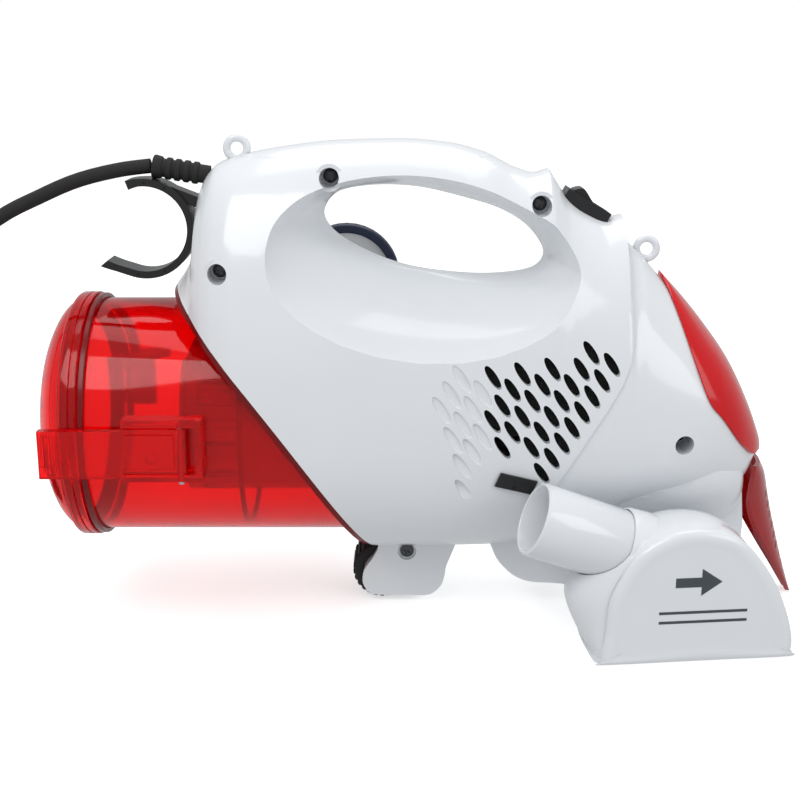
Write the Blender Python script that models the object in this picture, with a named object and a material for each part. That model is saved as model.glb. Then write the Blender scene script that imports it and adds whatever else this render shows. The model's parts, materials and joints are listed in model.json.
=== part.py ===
"""Hand-held corded grooming vacuum with a dust cup, and its turbo brush tool.

Frame: +X towards the nose, +Y away from the side that holds the tool, +Z up.
The floor is z = 0, and the origin is the middle of the object's footprint.
All lengths below are in millimetres; meshes are made in metres.
"""

import math

import bmesh
import bpy
from mathutils import Matrix, Vector

MM = 0.001
GAP = 0.3
WALL = 2.5

# Main body: (x, top z, belly z, half width) of the sections along the machine.
BODY = (
    (-121.0, 160.0, 30.0, 50.0), (-116.0, 167.0, 30.0, 50.5), (-112.0, 175.0, 30.0, 49.0),
    (-110.2, 186.0, 30.0, 46.0), (-109.2, 198.0, 30.0, 45.0), (-107.2, 206.5, 30.0, 47.0),
    (-103.5, 213.5, 30.0, 51.0), (-98.0, 218.8, 30.0, 55.0), (-88.0, 222.3, 30.0, 58.5),
    (-68.0, 226.3, 30.0, 59.5), (-40.0, 229.4, 30.0, 59.5), (-12.0, 230.1, 30.0, 59.0),
    (10.0, 228.4, 30.0, 58.0), (28.0, 223.9, 30.2, 57.0), (43.0, 216.6, 31.5, 55.5),
    (52.0, 214.1, 33.5, 54.8), (58.5, 215.8, 35.0, 54.0), (62.0, 211.0, 36.5, 53.6),
    (68.0, 202.5, 39.0, 53.0), (77.0, 196.0, 42.5, 52.0), (87.0, 192.4, 46.0, 51.0), (94.6, 193.9, 49.0, 50.0),
    (96.5, 183.5, 50.0, 49.6), (104.0, 175.6, 52.0, 48.6), (113.0, 165.4, 54.0, 47.4),
    (125.0, 152.2, 55.0, 45.0), (136.0, 138.4, 55.5, 41.5), (147.0, 122.5, 56.5, 36.0),
    (157.0, 102.5, 63.0, 26.0), (163.0, 87.0, 73.6, 15.0), (165.5, 80.5, 76.2, 6.0),
)
WIDEST_Z = 95.0
SIDES = 28

# The slanted plane where the dust cup meets the body, and the cup itself.
SLANT_TOP = (-119.4, 156.3)
SLANT_RUN = 0.7053
CUP_Z = 95.0
CUP_R = 57.5
CUP_END = -160.0
LID_R = 60.5
LID_END = -189.6

# Finger opening of the handle (x, z) at the middle of the body, and the rim of its scoop.
OPENING = (
    (-48.1, 197.0), (-41.0, 205.3), (-25.4, 208.4), (-4.0, 207.6), (17.8, 202.7), (36.1, 197.0),
    (50.0, 188.0), (57.6, 175.5), (50.4, 167.1), (30.0, 164.8), (2.6, 167.4), (-18.0, 172.3),
    (-37.0, 181.3), (-46.0, 189.0),
)
SCOOP_MID = (0.0, 178.5)
SCOOP_R = (75.0, 42.0)
SCOOP_TILT = math.radians(-6.0)

# Clip at the rear, strap eyelets, switch, hose inlet.
CLIP = (-134.0, 187.8, 20.3, 23.8)
EYELETS = ((-89.6, 225.4), (107.5, 177.5))
SWITCH = (77.8, 199.8, math.radians(31.0))
INLET = (-41.0, 150.5, 24.0)

# Nozzle foot, its brush, the visor hinge, the rear wheel.
FOOT_HALF = 22.0
ROLL = (142.0, 25.5)
CHIN = ((76, 72, 156, 38), (66, 60, 158, 37.5), (58, 50, 158, 33.5), (50, 42, 158, 28),
        (42, 38, 157.5, 23), (38, 38, 156, 20))
VISOR_AXIS = (164.0, 76.2)
WHEEL = (-21.0, 14.8, 14.8)

# Turbo tool: outline (x, z) of its end, its two end faces, and its tube.
TOOL_END = (
    (84.5, 0.0), (79.8, 2.3), (81.3, 15.7), (82.6, 30.8), (87.6, 42.4), (96.0, 54.3),
    (109.4, 61.9), (121.7, 63.7), (134.2, 61.9), (143.4, 57.1), (151.0, 49.1), (159.1, 37.1),
    (165.5, 22.5), (168.8, 10.2), (168.5, 3.0), (164.0, 0.0),
)
TOOL_NEAR, TOOL_FAR = -89.0, -30.0
TOOL_ROLL = (126.0, 21.0)
TUBE_MOUTH = Vector((50.4, -67.8, 65.2))
TUBE_ROOT = Vector((92.0, -65.5, 49.0))
TUBE_R = 17.2
# The tool stands turned by this much beside the machine, about this corner of its near end.
TOOL_TURN = math.radians(6.0)
TOOL_CORNER = (84.5, -89.0)
TOOL_SHIFT = -1.5

# Mains cord.
CORD_D = 7.0
COIL = (-306.0, 52.0, 28.5, 55.5, 30.0)
CORD_ROUTE = (
    (-130.9, 0.0, 217.1), (-147.0, 0.0, 215.0), (-167.0, 0.0, 210.0), (-186.0, -0.5, 202.0),
    (-205.0, -1.5, 192.4), (-232.0, -5.0, 172.5), (-256.0, -11.5, 148.0), (-276.0, -19.0, 120.0),
    (-293.0, -26.0, 91.5), (-308.0, -32.5, 64.0), (-322.0, -36.0, 39.0), (-336.0, -35.5, 20.5),
    (-350.0, -27.0, 9.8), (-360.8, -11.0, 5.2), (-365.5, 10.0, 3.8), (-365.6, 31.0, 3.8),
    (-365.3, 52.0, 3.8),
)
PLUG = (-242.0, 11.4)

PALETTE = {
    "white": ((0.86, 0.86, 0.85), 0.25, 0.0), "black": ((0.02, 0.02, 0.02), 0.4, 0.0),
    "rubber": ((0.015, 0.015, 0.015), 0.75, 0.0), "red": ((0.45, 0.01, 0.015), 0.15, 0.0),
    "dark_red": ((0.16, 0.01, 0.01), 0.3, 0.0), "navy": ((0.02, 0.03, 0.07), 0.4, 0.0),
    "grey": ((0.45, 0.46, 0.47), 0.4, 0.0), "steel": ((0.55, 0.55, 0.57), 0.3, 1.0),
    "copper": ((0.6, 0.27, 0.1), 0.35, 1.0), "felt": ((0.7, 0.68, 0.62), 0.9, 0.0),
}


def finish(bm, name, colour, origin=(0.0, 0.0, 0.0), sharp=35.0):
    """Turn a bmesh in millimetres into a named object whose origin is where its joint is."""
    bmesh.ops.recalc_face_normals(bm, faces=bm.faces)
    mesh = bpy.data.meshes.new(name)
    shift = Matrix.Translation(-Vector(origin) * MM) @ Matrix.Scale(MM, 4)
    bm.transform(shift)
    bm.to_mesh(mesh)
    bm.free()
    mesh.shade_smooth()
    mesh.set_sharp_from_angle(angle=math.radians(sharp))
    obj = bpy.data.objects.new(name, mesh)
    obj.location = Vector(origin) * MM
    bpy.context.scene.collection.objects.link(obj)
    rgb, roughness, metallic = PALETTE[colour]
    material = bpy.data.materials.new(name)
    material.use_nodes = True
    shader = material.node_tree.nodes["Principled BSDF"]
    shader.inputs["Base Color"].default_value = (*rgb, 1.0)
    shader.inputs["Roughness"].default_value = roughness
    shader.inputs["Metallic"].default_value = metallic
    mesh.materials.append(material)
    return obj


def loft(bm, rings, caps=True):
    """Skin a list of rings with the same number of points, and close both ends."""
    rows = [[bm.verts.new(p) for p in ring] for ring in rings]
    count = len(rows[0])
    for low, high in zip(rows, rows[1:]):
        for i in range(count):
            j = (i + 1) % count
            bm.faces.new((low[i], low[j], high[j], high[i]))
    if caps:
        bm.faces.new(rows[0])
        bm.faces.new(list(reversed(rows[-1])))
    return rows


def tube_between(bm, rings):
    """Skin rings and close the last one onto the first, as round a pipe's wall."""
    rows = loft(bm, rings, caps=False)
    count = len(rows[0])
    for i in range(count):
        j = (i + 1) % count
        bm.faces.new((rows[-1][i], rows[-1][j], rows[0][j], rows[0][i]))


def axis_frame(axis):
    """A matrix that turns +Z onto the axis."""
    return Vector((0, 0, 1)).rotation_difference(Vector(axis).normalized()).to_matrix().to_4x4()


def lathe(bm, profile, centre, axis, segments=28):
    """Turn a closed profile of (height, radius) round an axis; radius 0 closes on the axis."""
    place = Matrix.Translation(Vector(centre)) @ axis_frame(axis)
    rows = []
    for height, radius in profile:
        if radius <= 0.0:
            rows.append([bm.verts.new(place @ Vector((0, 0, height)))])
            continue
        turn = [2 * math.pi * k / segments for k in range(segments)]
        rows.append([bm.verts.new(place @ Vector((radius * math.cos(a), radius * math.sin(a), height)))
                     for a in turn])
    for low, high in zip(rows, rows[1:] + rows[:1]):
        if len(low) == 1 and len(high) == 1:
            continue
        for i in range(segments):
            j = (i + 1) % segments
            if len(low) == 1:
                bm.faces.new((low[0], high[j], high[i]))
            elif len(high) == 1:
                bm.faces.new((low[i], low[j], high[0]))
            else:
                bm.faces.new((low[i], low[j], high[j], high[i]))


def rod(bm, centre, axis, radius, low, high, segments=24):
    lathe(bm, ((low, 0.0), (low, radius), (high, radius), (high, 0.0)), centre, axis, segments)


def pipe(bm, centre, axis, outer, inner, low, high, segments=28):
    lathe(bm, ((low, inner), (low, outer), (high, outer), (high, inner)), centre, axis, segments)


def prism(bm, outline, low, high):
    """Extrude an (x, z) outline along Y."""
    loft(bm, [[(x, y, z) for x, z in outline] for y in (low, high)])


def block(bm, low, high):
    prism(bm, ((low[0], low[2]), (high[0], low[2]), (high[0], high[2]), (low[0], high[2])), low[1], high[1])


def rounded(bm, width, segments=2):
    """Bevel the edges that turn sharply."""
    edges = [e for e in bm.edges if e.is_manifold and e.calc_face_angle(0.0) > math.radians(40)]
    bmesh.ops.bevel(bm, geom=edges, offset=width, segments=segments, affect="EDGES", clamp_overlap=True)


def smooth_loop(points, count, closed=True):
    """Points evenly spaced in parameter along a Catmull-Rom curve through the given ones."""
    size = len(points)
    spans = size if closed else size - 1
    found = []
    for k in range(count):
        t = spans * k / (count if closed else count - 1)
        i = min(int(t), spans - 1)
        u = t - i
        if closed:
            near = [Vector(points[(i + d) % size]) for d in (-1, 0, 1, 2)]
        else:
            near = [Vector(points[min(max(i + d, 0), size - 1)]) for d in (-1, 0, 1, 2)]
        a, b, c, d = near
        found.append(0.5 * (2 * b + (c - a) * u + (2 * a - 5 * b + 4 * c - d) * u * u
                            + (3 * b - a - 3 * c + d) * u ** 3))
    return found


def boolean(obj, cutter, operation="DIFFERENCE", solver="EXACT"):
    """Apply a Boolean with a hidden cutter that is then removed."""
    modifier = obj.modifiers.new("cut", "BOOLEAN")
    modifier.object = cutter
    modifier.operation = operation
    modifier.solver = solver
    graph = bpy.context.evaluated_depsgraph_get()
    mesh = bpy.data.meshes.new_from_object(obj.evaluated_get(graph))
    obj.modifiers.remove(modifier)
    old = obj.data
    obj.data = mesh
    bpy.data.meshes.remove(old)
    old = cutter.data
    bpy.data.objects.remove(cutter)
    bpy.data.meshes.remove(old)
    obj.data.shade_smooth()
    obj.data.set_sharp_from_angle(angle=math.radians(35))


def cut(obj, build, operation="DIFFERENCE", solver="EXACT"):
    """Boolean an object with the shape that build() puts in a new bmesh."""
    bm = bmesh.new()
    build(bm)
    cutter = finish(bm, "cutter", "grey")
    cutter.hide_render = True
    cutter.display_type = "WIRE"
    boolean(obj, cutter, operation, solver)


# ---- body sections -------------------------------------------------------------------


def section(x):
    """Top, belly and half width of the body at x, linear between the stations."""
    for low, high in zip(BODY, BODY[1:]):
        if x <= high[0]:
            t = max(0.0, (x - low[0]) / (high[0] - low[0]))
            return [a + (b - a) * t for a, b in zip(low[1:], high[1:])]
    return list(BODY[-1][1:])


def body_point(x, angle, offset=0.0):
    """A point on the body's skin, angle 0 at the side and 90 degrees at the top."""
    top, belly, half = section(x)
    middle = min(WIDEST_Z, 0.5 * (top + belly))
    s, c = math.sin(angle), math.cos(angle)
    power = 2 / 2.05 if s > 0 else 2 / 2.35
    reach = (top - middle if s > 0 else middle - belly) + offset
    y = (half + offset) * math.copysign(abs(c) ** power, c)
    z = middle + reach * math.copysign(abs(s) ** power, s)
    return Vector((x, y, z))


def body_ring(x, offset=0.0, sides=SIDES):
    return [body_point(x, 2 * math.pi * (k + 0.5) / sides, offset) for k in range(sides)]


def slant_x(z):
    return SLANT_TOP[0] + (SLANT_TOP[1] - z) * SLANT_RUN


def scoop_rings(offset):
    """The hourglass that leaves the finger opening and the scoop round it."""
    loop = smooth_loop([(x, z, 0) for x, z in OPENING], 28)
    mid = Vector((*SCOOP_MID, 0))
    rings = []
    for y, blend in ((-75, 1.3), (-56, 1.08), (-42, 0.9), (-30, 0.62), (-18, 0.28), (-8, 0.07), (0, 0.0),
                     (8, 0.07), (18, 0.28), (30, 0.62), (42, 0.9), (56, 1.08), (75, 1.3)):
        ring = []
        for p in loop:
            away = (p - mid).normalized()
            angle = math.atan2(away.y, away.x) - SCOOP_TILT
            flat = Vector((SCOOP_R[0] * math.cos(angle), SCOOP_R[1] * math.sin(angle)))
            flat.rotate(Matrix.Rotation(SCOOP_TILT, 2))
            rim = mid + Vector((flat.x, flat.y, 0))
            q = p.lerp(rim, blend) + away * offset
            ring.append((q.x, y, q.y))
        rings.append(ring)
    return rings


VENT_STEP = (-4.5, -7.2)
VENT_ROWS = (
    ((85.3, 131.0), 8), ((75.7, 136.5), 7), ((57.6, 129.8), 6), ((43.8, 128.0), 4), ((30.3, 126.7), 1),
)


def vents():
    """Centres (x, z) of the open slots: rows that run down towards the rear."""
    return [(x + VENT_STEP[0] * k, z + VENT_STEP[1] * k) for (x, z), count in VENT_ROWS for k in range(count)]


def vent_cutter(bm):
    for x, z in vents():
        outline = []
        for along, across in ((6.4, 0), (3.0, 1.75), (-3.0, 1.75), (-6.4, 0), (-3.0, -1.75), (3.0, -1.75)):
            turn = math.radians(-57)
            outline.append((x + along * math.cos(turn) - across * math.sin(turn),
                            z + along * math.sin(turn) + across * math.cos(turn)))
        prism(bm, outline, -75, -30)


def half_space(bm, side):
    low, high = sorted((side * 0.15, side * 120.0))
    block(bm, (-220, low, -20), (220, high, 260))


SCREWS = ((-95.1, 172.3, 44), (-44.5, 213.9, 25.5), (53.6, 201.0, 26), (121.5, 91.4, 38))


def body_shells():
    bm = bmesh.new()
    loft(bm, [body_ring(x) for x, *_ in BODY])
    body = finish(bm, "body", "white")

    def foot(bm):
        outline = ((30, 60), (31.5, 36), (33.7, 31), (36, 25.7), (39.7, 21), (45.2, 16.1), (53.4, 13), (68, 12),
                   (84, 9), (155, 9), (156.8, 30), (157.5, 44), (156, 62), (140, 84))
        prism(bm, outline, -FOOT_HALF, FOOT_HALF)
        rounded(bm, 3.0)

    def chin(bm):
        """The narrowing from the nose down to the foot."""
        rings = []
        for z, rear, front, half in CHIN:
            mid, long = 0.5 * (rear + front), 0.5 * (front - rear)
            rings.append([(mid + long * math.copysign(abs(math.cos(a)) ** 0.5, math.cos(a)),
                           half * math.copysign(abs(math.sin(a)) ** 0.5, math.sin(a)), z)
                          for a in (2 * math.pi * (k + 0.5) / 24 for k in range(24))])
        loft(bm, rings)

    def cavity(bm):
        stations = (-108, -96, -80, -60, -40, -12, 12, 28, 43, 52, 60, 66, 84, 92, 99, 113, 125, 136, 147, 156)
        loft(bm, [body_ring(x, -WALL - 0.6, 18) for x in stations])

    def slant(bm):
        outline = [(slant_x(z), z) for z in (270, -40)]
        prism(bm, (*outline, (-320, -40), (-320, 270)), -90, 90)

    def slant_inside(bm):
        outline = [(slant_x(z) + WALL * 1.4, z) for z in (270, -40)]
        prism(bm, (*outline, (-320, -40), (-320, 270)), -90, 90)

    def chamber(bm):
        prism(bm, ((124, -5), (170, -5), (170, 46), (158, 52), (130, 46), (124, 30)),
              -FOOT_HALF + WALL, FOOT_HALF - WALL)

    cut(body, foot, "UNION")
    cut(body, chin, "UNION")
    cut(body, slant)
    cut(body, lambda bm: loft(bm, scoop_rings(0.0)))
    bm = bmesh.new()
    cavity(bm)
    hollow = finish(bm, "hollow", "grey")
    cut(hollow, slant_inside)
    cut(hollow, lambda bm: loft(bm, scoop_rings(WALL)))
    boolean(body, hollow)
    cut(body, chamber)
    cut(body, lambda bm: block(bm, (60, -19, 12), (128, 19, 60)))
    cut(body, lambda bm: rod(bm, (-90, 0, 95), (1, 0, 0), 20, 0, 60))
    for x, z in EYELETS:
        cut(body, lambda bm, x=x, z=z: rod(bm, (x, 0, z), (0, 1, 0), 7.1, -2.4, 2.4))
    x, z, tilt = SWITCH

    def pocket(bm):
        block(bm, (-12.4, -8.4, -13), (12.4, 8.4, 12))
        bm.transform(Matrix.Translation((x, 0, z)) @ Matrix.Rotation(tilt, 4, "Y"))

    cut(body, pocket)
    for side, name in ((-1, "shell_near"), (1, "shell_far")):
        shell = body.copy()
        shell.data = body.data.copy()
        shell.name = shell.data.name = name
        bpy.context.scene.collection.objects.link(shell)
        cut(shell, lambda bm, side=side: half_space(bm, side), "INTERSECT")
        if side < 0:
            for x, z, depth in SCREWS:  # the exact solver loses the thin handle wall here
                cut(shell, lambda bm, x=x, z=z, low=depth - 12: rod(bm, (x, 0, z), (0, -1, 0), 4.6, low, 90, 16),
                    solver="MANIFOLD")
            cut(shell, vent_cutter)
        else:
            cut(shell, lambda bm: rod(bm, (INLET[0], 0, INLET[1]), (0, 1, 0), INLET[2] + GAP, 14, 100, 28))
    mesh = body.data
    bpy.data.objects.remove(body)
    bpy.data.meshes.remove(mesh)


# ---- body fittings -------------------------------------------------------------------


def simple(name, colour, build, origin=(0, 0, 0), bevel=0.0, segments=2):
    bm = bmesh.new()
    build(bm)
    if bevel:
        rounded(bm, bevel, segments)
    return finish(bm, name, colour, origin)


def thick_sheet(bm, outer, inner):
    """Close two grids of points, one above the other, into one body."""
    rows_a = [[bm.verts.new(p) for p in row] for row in outer]
    rows_b = [[bm.verts.new(p) for p in row] for row in inner]
    high, wide = len(outer), len(outer[0])
    for i in range(high - 1):
        for j in range(wide - 1):
            bm.faces.new((rows_a[i][j], rows_a[i][j + 1], rows_a[i + 1][j + 1], rows_a[i + 1][j]))
            bm.faces.new((rows_b[i][j], rows_b[i + 1][j], rows_b[i + 1][j + 1], rows_b[i][j + 1]))
    rim = ([(0, j) for j in range(wide)] + [(i, wide - 1) for i in range(1, high)]
           + [(high - 1, j) for j in range(wide - 2, -1, -1)] + [(i, 0) for i in range(high - 2, 0, -1)])
    for (a, b), (c, d) in zip(rim, rim[1:] + rim[:1]):
        bm.faces.new((rows_a[a][b], rows_b[a][b], rows_b[c][d], rows_a[c][d]))


def lens_grid(offset):
    """The pointed-oval window on the nose, from its upper tip to its lower tip."""
    spans = ((114.5, 5), (118, 26), (124, 40), (131, 48), (138, 54), (145, 59), (152, 62), (158, 60), (162.5, 40))
    grid = []
    for x, spread in spans:
        row = []
        for k in range(13):
            angle = math.radians(90 + spread * (k / 6 - 1))
            point = body_point(x, angle, offset)
            push = offset * 0.6 * max(0.0, (x - 118) / 45)
            row.append(point + Vector((push, 0, 0)))
        grid.append(row)
    return grid


def visor_grid(depth):
    """The slotted guard: rows from its hinge down to its pointed tip."""
    rows = ((73.0, 167.4, 162.4, 20.0), (66.0, 170.9, 161.5, 20.5), (54.0, 173.7, 160.4, 21.0),
            (44.0, 176.0, 163.2, 20.8), (34.0, 178.7, 168.6, 18.8), (22.0, 182.0, 175.6, 15.0),
            (10.0, 185.7, 183.0, 9.5), (0.6, 189.0, 188.4, 4.0))
    grid = []
    for z, front, edge, half in rows:
        row = []
        for k in range(9):
            t = k / 4 - 1
            bulge = math.sqrt(max(0.0, 1 - 0.92 * t * t))
            side = 1 - math.sqrt(1 - 0.92)
            x = edge + (front - edge) * (bulge - math.sqrt(0.08)) / side
            row.append(Vector((x - depth + 0.6, t * (half - depth * 0.35 * abs(t)), z)))
        grid.append(row)
    return grid


def visor_slots(bm):
    for row in range(5):
        for side in (-1, 1):
            for k in range(2):
                y = side * (4.5 + 8.0 * k - (row % 2) * 1.2)
                z = 62.0 - row * 10.5
                if abs(y) > 15.5 - max(0, row - 2) * 3.2:
                    continue
                block(bm, (150, y - 2.6, z - 0.9), (200, y + 2.6, z + 0.9))


def bristles(bm, centre, core, tip, low, high):
    """Six spiral rows of bristle on a sleeve that sits on a brush's core."""
    x, z = centre
    rows = []
    for k in range(7):
        y = low + (high - low) * k / 6
        rows.append([(x + r * math.cos(a), y, z + r * math.sin(a)) for r, a in
                     ((tip if i % 4 == 0 else core + 0.9, math.pi * (i / 12 + k / 12)) for i in range(24))])
    for k in range(6, -1, -1):
        y = low + (high - low) * k / 6
        turn = [math.pi * (i / 12 + k / 12) for i in range(24)]
        rows.append([(x + core * math.cos(a), y, z + core * math.sin(a)) for a in turn])
    tube_between(bm, rows)


def belt(bm, small, small_r, large, large_r, low, high):
    """An open belt round two pulleys, each wrapped over half a turn."""
    a, b = Vector(small), Vector(large)
    along = (b - a).normalized()
    side = Vector((-along.y, along.x))
    loops = []
    for extra in (0.0, 1.2):
        loop = []
        for centre, radius, sign in ((a, small_r, -1), (b, large_r, 1)):
            for k in range(9):
                turn = math.pi * (k / 8 - 0.5)
                ray = (along * math.cos(turn) + side * math.sin(turn)) * sign
                loop.append(centre + ray * (radius + extra))
        loops.append(loop)
    inner, outer = loops
    tube_between(bm, [[(p.x, y, p.y) for p in loop]
                      for loop, y in ((inner, low), (outer, low), (outer, high), (inner, high))])


def nose_parts():
    simple("front_lens", "red", lambda bm: thick_sheet(bm, lens_grid(2.5), lens_grid(1.2)))
    origin = (VISOR_AXIS[0], 0, VISOR_AXIS[1])
    visor = simple("visor", "red", lambda bm: thick_sheet(bm, visor_grid(0.0), visor_grid(2.2)), origin)
    cut(visor, visor_slots)
    simple("brush_roll", "black", lambda bm: rod(bm, (ROLL[0], 0, ROLL[1]), (0, 1, 0), 9.5, -15, 17.6),
           (ROLL[0], 0, ROLL[1]))

    simple("brush_bristles", "rubber", lambda bm: bristles(bm, ROLL, 9.8, 16.0, -14.4, 12.6),
           (ROLL[0], 0, ROLL[1]))
    for name, low, high in (("brush_bearing_near", -19.1, -15.4), ("brush_bearing_far", 17.9, 19.1)):
        simple(name, "grey", lambda bm, low=low, high=high: rod(
            bm, (ROLL[0], 0, ROLL[1]), (0, 1, 0), 6.0, low, high, 16))
    simple("brush_motor", "steel", lambda bm: rod(bm, (92, 0, 34), (0, 1, 0), 14, -17, 11))
    simple("brush_pinion", "grey", lambda bm: rod(bm, (92, 0, 34), (0, 1, 0), 3.2, 11.4, 17), (92, 0, 34))

    simple("drive_belt", "rubber", lambda bm: belt(bm, (92, 34), 3.6, ROLL, 9.9, 13.5, 16.5))

    def sole(bm):
        block(bm, (84, -17.5, 6.0), (121, 17.5, 8.6))

    simple("sole_plate", "grey", sole, (0, 0, 0), 0.8)


def top_parts():
    def eyelet(bm, x, z):
        pipe(bm, (x, 0, z), (0, 1, 0), 6.7, 3.0, -1.7, 1.7, 24)

    for name, (x, z) in zip(("eyelet_rear", "eyelet_front"), EYELETS):
        simple(name, "white", lambda bm, x=x, z=z: eyelet(bm, x, z))
    x, z, tilt = SWITCH
    place = Matrix.Translation((x, 0, z)) @ Matrix.Rotation(tilt, 4, "Y")

    def frame(bm):
        outer = [(-12, -8), (12, -8), (12, 8), (-12, 8)]
        inner = [(-10, -6.2), (10, -6.2), (10, 6.2), (-10, 6.2)]
        tube_between(bm, [[(a, b, h) for a, b in loop] for loop, h in
                          ((inner, -9), (outer, -9), (outer, 1.4), (inner, 1.4))])
        bm.transform(place)

    simple("switch_frame", "black", frame)

    def rocker(bm):
        prism(bm, ((-9.2, 2.0), (-8.8, -6), (9.0, -6), (9.6, -1.2), (1.5, 2.0), (-6.0, 4.6)), -5.8, 5.8)
        rounded(bm, 0.8)
        bm.transform(place)

    pivot = place @ Vector((0, 0, -3))
    simple("switch_rocker", "black", rocker, pivot)


def rear_parts():
    cx, cz, inner, outer = CLIP

    def clip(bm):
        front, back = [], []
        for k in range(25):
            a = math.radians(110 - 251 * k / 24)
            flare = 4.0 * max(0.0, (k - 21) / 3) ** 2
            front.append((cx + (outer + flare) * math.cos(a), cz + (outer + flare) * math.sin(a)))
            back.append((cx + (inner + flare) * math.cos(a), cz + (inner + flare) * math.sin(a)))
        prism(bm, front + back[::-1], -8, 8)

    obj = simple("hose_clip", "black", clip)

    def rib(bm):
        prism(bm, ((-125.0, 209.4), (-107.0, 202.4), (-107.0, 197.0), (-113.6, 199.6), (-126.4, 207.0)), -6, 6)

    cut(obj, rib, "UNION")
    cut(obj, lambda bm: loft(bm, [body_ring(x, 0.4) for x, *_ in BODY[:12]]))
    ends = (Vector((-103.0, 0, 212.8)), Vector((-129.9, 0, 216.9)))

    def gland(bm):
        axis = (ends[1] - ends[0]).normalized()
        long = (ends[1] - ends[0]).length
        profile = [(0.0, 0.0), (0.0, 4.6)]
        for k in range(5):
            at = 6.5 + k * (long - 8.5) / 5
            radius = 4.4 + 0.12 * k
            profile += [(at, radius), (at + 0.6, radius + 0.9), (at + 2.4, radius + 0.9), (at + 3.0, radius)]
        profile += [(long - 1.6, 5.6), (long, 5.2), (long, 0.0)]
        lathe(bm, profile, ends[0], axis, 12)

    obj = simple("cord_gland", "rubber", gland)
    cut(obj, lambda bm: loft(bm, [body_ring(x, 0.4) for x, *_ in BODY[:12]]))
    x, z, radius = INLET

    def neck(bm):
        lathe(bm, ((16, radius - WALL), (16, radius), (76, radius), (76, radius - WALL)), (x, 0, z), (0, 1, 0), 32)

    simple("inlet_neck", "grey", neck)
    simple("inlet_collar", "navy", lambda bm: lathe(
        bm, ((76.4, 20), (76.4, 28.2), (78, 28.8), (82, 28.8), (84, 28.0), (84, 25), (91.7, 24.4), (91.7, 20)),
        (x, 0, z), (0, 1, 0), 32))

    def side_clip(bm):
        prism(bm, ((31.8, 75.2), (34.6, 81.8), (52.0, 76.9), (49.2, 70.2)), -60, -40)

    obj = simple("side_clip", "black", side_clip)
    cut(obj, lambda bm: loft(bm, [body_ring(x, 1.7) for x, *_ in BODY[12:20]]), "INTERSECT")
    cut(obj, lambda bm: loft(bm, [body_ring(x, 0.35) for x, *_ in BODY[12:20]]))
    for k, (sx, sz, depth) in enumerate(SCREWS):
        simple(f"shell_screw_{k + 1}", "steel", lambda bm, at=(sx, 11.6 - depth, sz): lathe(
            bm, ((0, 0), (0, 3.4), (1.8, 3.2), (2.4, 2.0), (2.4, 0)), at, (0, -1, 0), 12))


def wheel_parts():
    x, z, radius = WHEEL

    def bracket(bm):
        outline = ((-22, 36.2), (-23.2, 28.1), (-26.2, 22.8), (-30, 17.1), (-30.9, 11.3), (-29.5, 7.5), (-26.7, 4.5),
                   (-20.3, 3.7), (2.1, 3.7), (7.7, 7.5), (10, 12.2), (11.2, 19), (13.2, 24.2), (15.1, 29.1),
                   (17.5, 36.2))
        prism(bm, outline, -17, 17)

    obj = simple("wheel_bracket", "white", bracket, (0, 0, 0), 1.5)
    cut(obj, lambda bm: block(bm, (-50, -13, -5), (-3.5, 13, 32)))
    cut(obj, lambda bm: loft(bm, [body_ring(s, 0.5) for s in (-100, -60, -40, -12, 10, 28, 52)]))
    cut(obj, lambda bm: rod(bm, (-8.5, 0, 27.2), (0, -1, 0), 4.6, 15, 30, 16))
    simple("wheel_hub", "grey", lambda bm: pipe(bm, (x, 0, z), (0, 1, 0), 9.4, 2.4, -11, 11, 24), (x, 0, z))
    simple("wheel_tyre", "rubber", lambda bm: lathe(
        bm, ((-11.6, 9.8), (-11.6, radius - 1.2), (-10.2, radius), (10.2, radius), (11.6, radius - 1.2), (11.6, 9.8)),
        (x, 0, z), (0, 1, 0), 32), (x, 0, z))
    simple("wheel_axle", "steel", lambda bm: rod(bm, (x, 0, z), (0, 1, 0), 2.0, -12.6, 12.6, 12))
    simple("bracket_screw", "steel", lambda bm: lathe(
        bm, ((0, 0), (0, 3.4), (1.2, 3.2), (1.6, 2.0), (1.6, 0)), (-8.5, -15.2, 27.2), (0, -1, 0), 12))


def machinery():
    def motor(bm):
        lathe(bm, ((-14, 0), (-14, 20), (-10, 27), (30, 27), (36, 22), (36, 8), (42, 8), (42, 0)),
              (0, 0, 92), (1, 0, 0), 24)

    simple("motor", "steel", motor)

    def fan(bm):
        lathe(bm, ((-30, 0), (-30, 36), (-28, 36), (-28, 10), (-18, 8), (-18, 0)), (0, 0, 92), (1, 0, 0), 24)

    obj = simple("fan", "copper", fan, (-24, 0, 92))

    def blades(bm):
        for k in range(8):
            piece = bmesh.new()
            block(piece, (-29, -0.7, 9), (-20, 0.7, 34))
            piece.transform(Matrix.Rotation(2 * math.pi * k / 8, 4, "X"))
            made = bpy.data.meshes.new("blade")
            piece.to_mesh(made)
            piece.free()
            bm.from_mesh(made)
            bpy.data.meshes.remove(made)
        bm.transform(Matrix.Translation((0, 0, 92)))

    cut(obj, blades, "UNION")
    simple("circuit_board", "navy", lambda bm: block(bm, (48, -24, 72), (50, 24, 118)), (0, 0, 0), 0.3, 1)


# ---- dust cup ------------------------------------------------------------------------


def slanted_pipe(bm, back, front, outer, inner, segments=40):
    """A pipe along X whose front end, and its back end if back is a tuple, is cut on the slant."""
    rings = []
    for radius, edge in ((inner, back), (outer, back), (outer, front), (inner, front)):
        ring = []
        for k in range(segments):
            turn = 2 * math.pi * k / segments
            y, z = radius * math.cos(turn), CUP_Z + radius * math.sin(turn)
            x = edge[1] + slant_x(z) if isinstance(edge, tuple) else edge
            ring.append((x, y, z))
        rings.append(ring)
    tube_between(bm, rings)


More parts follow.
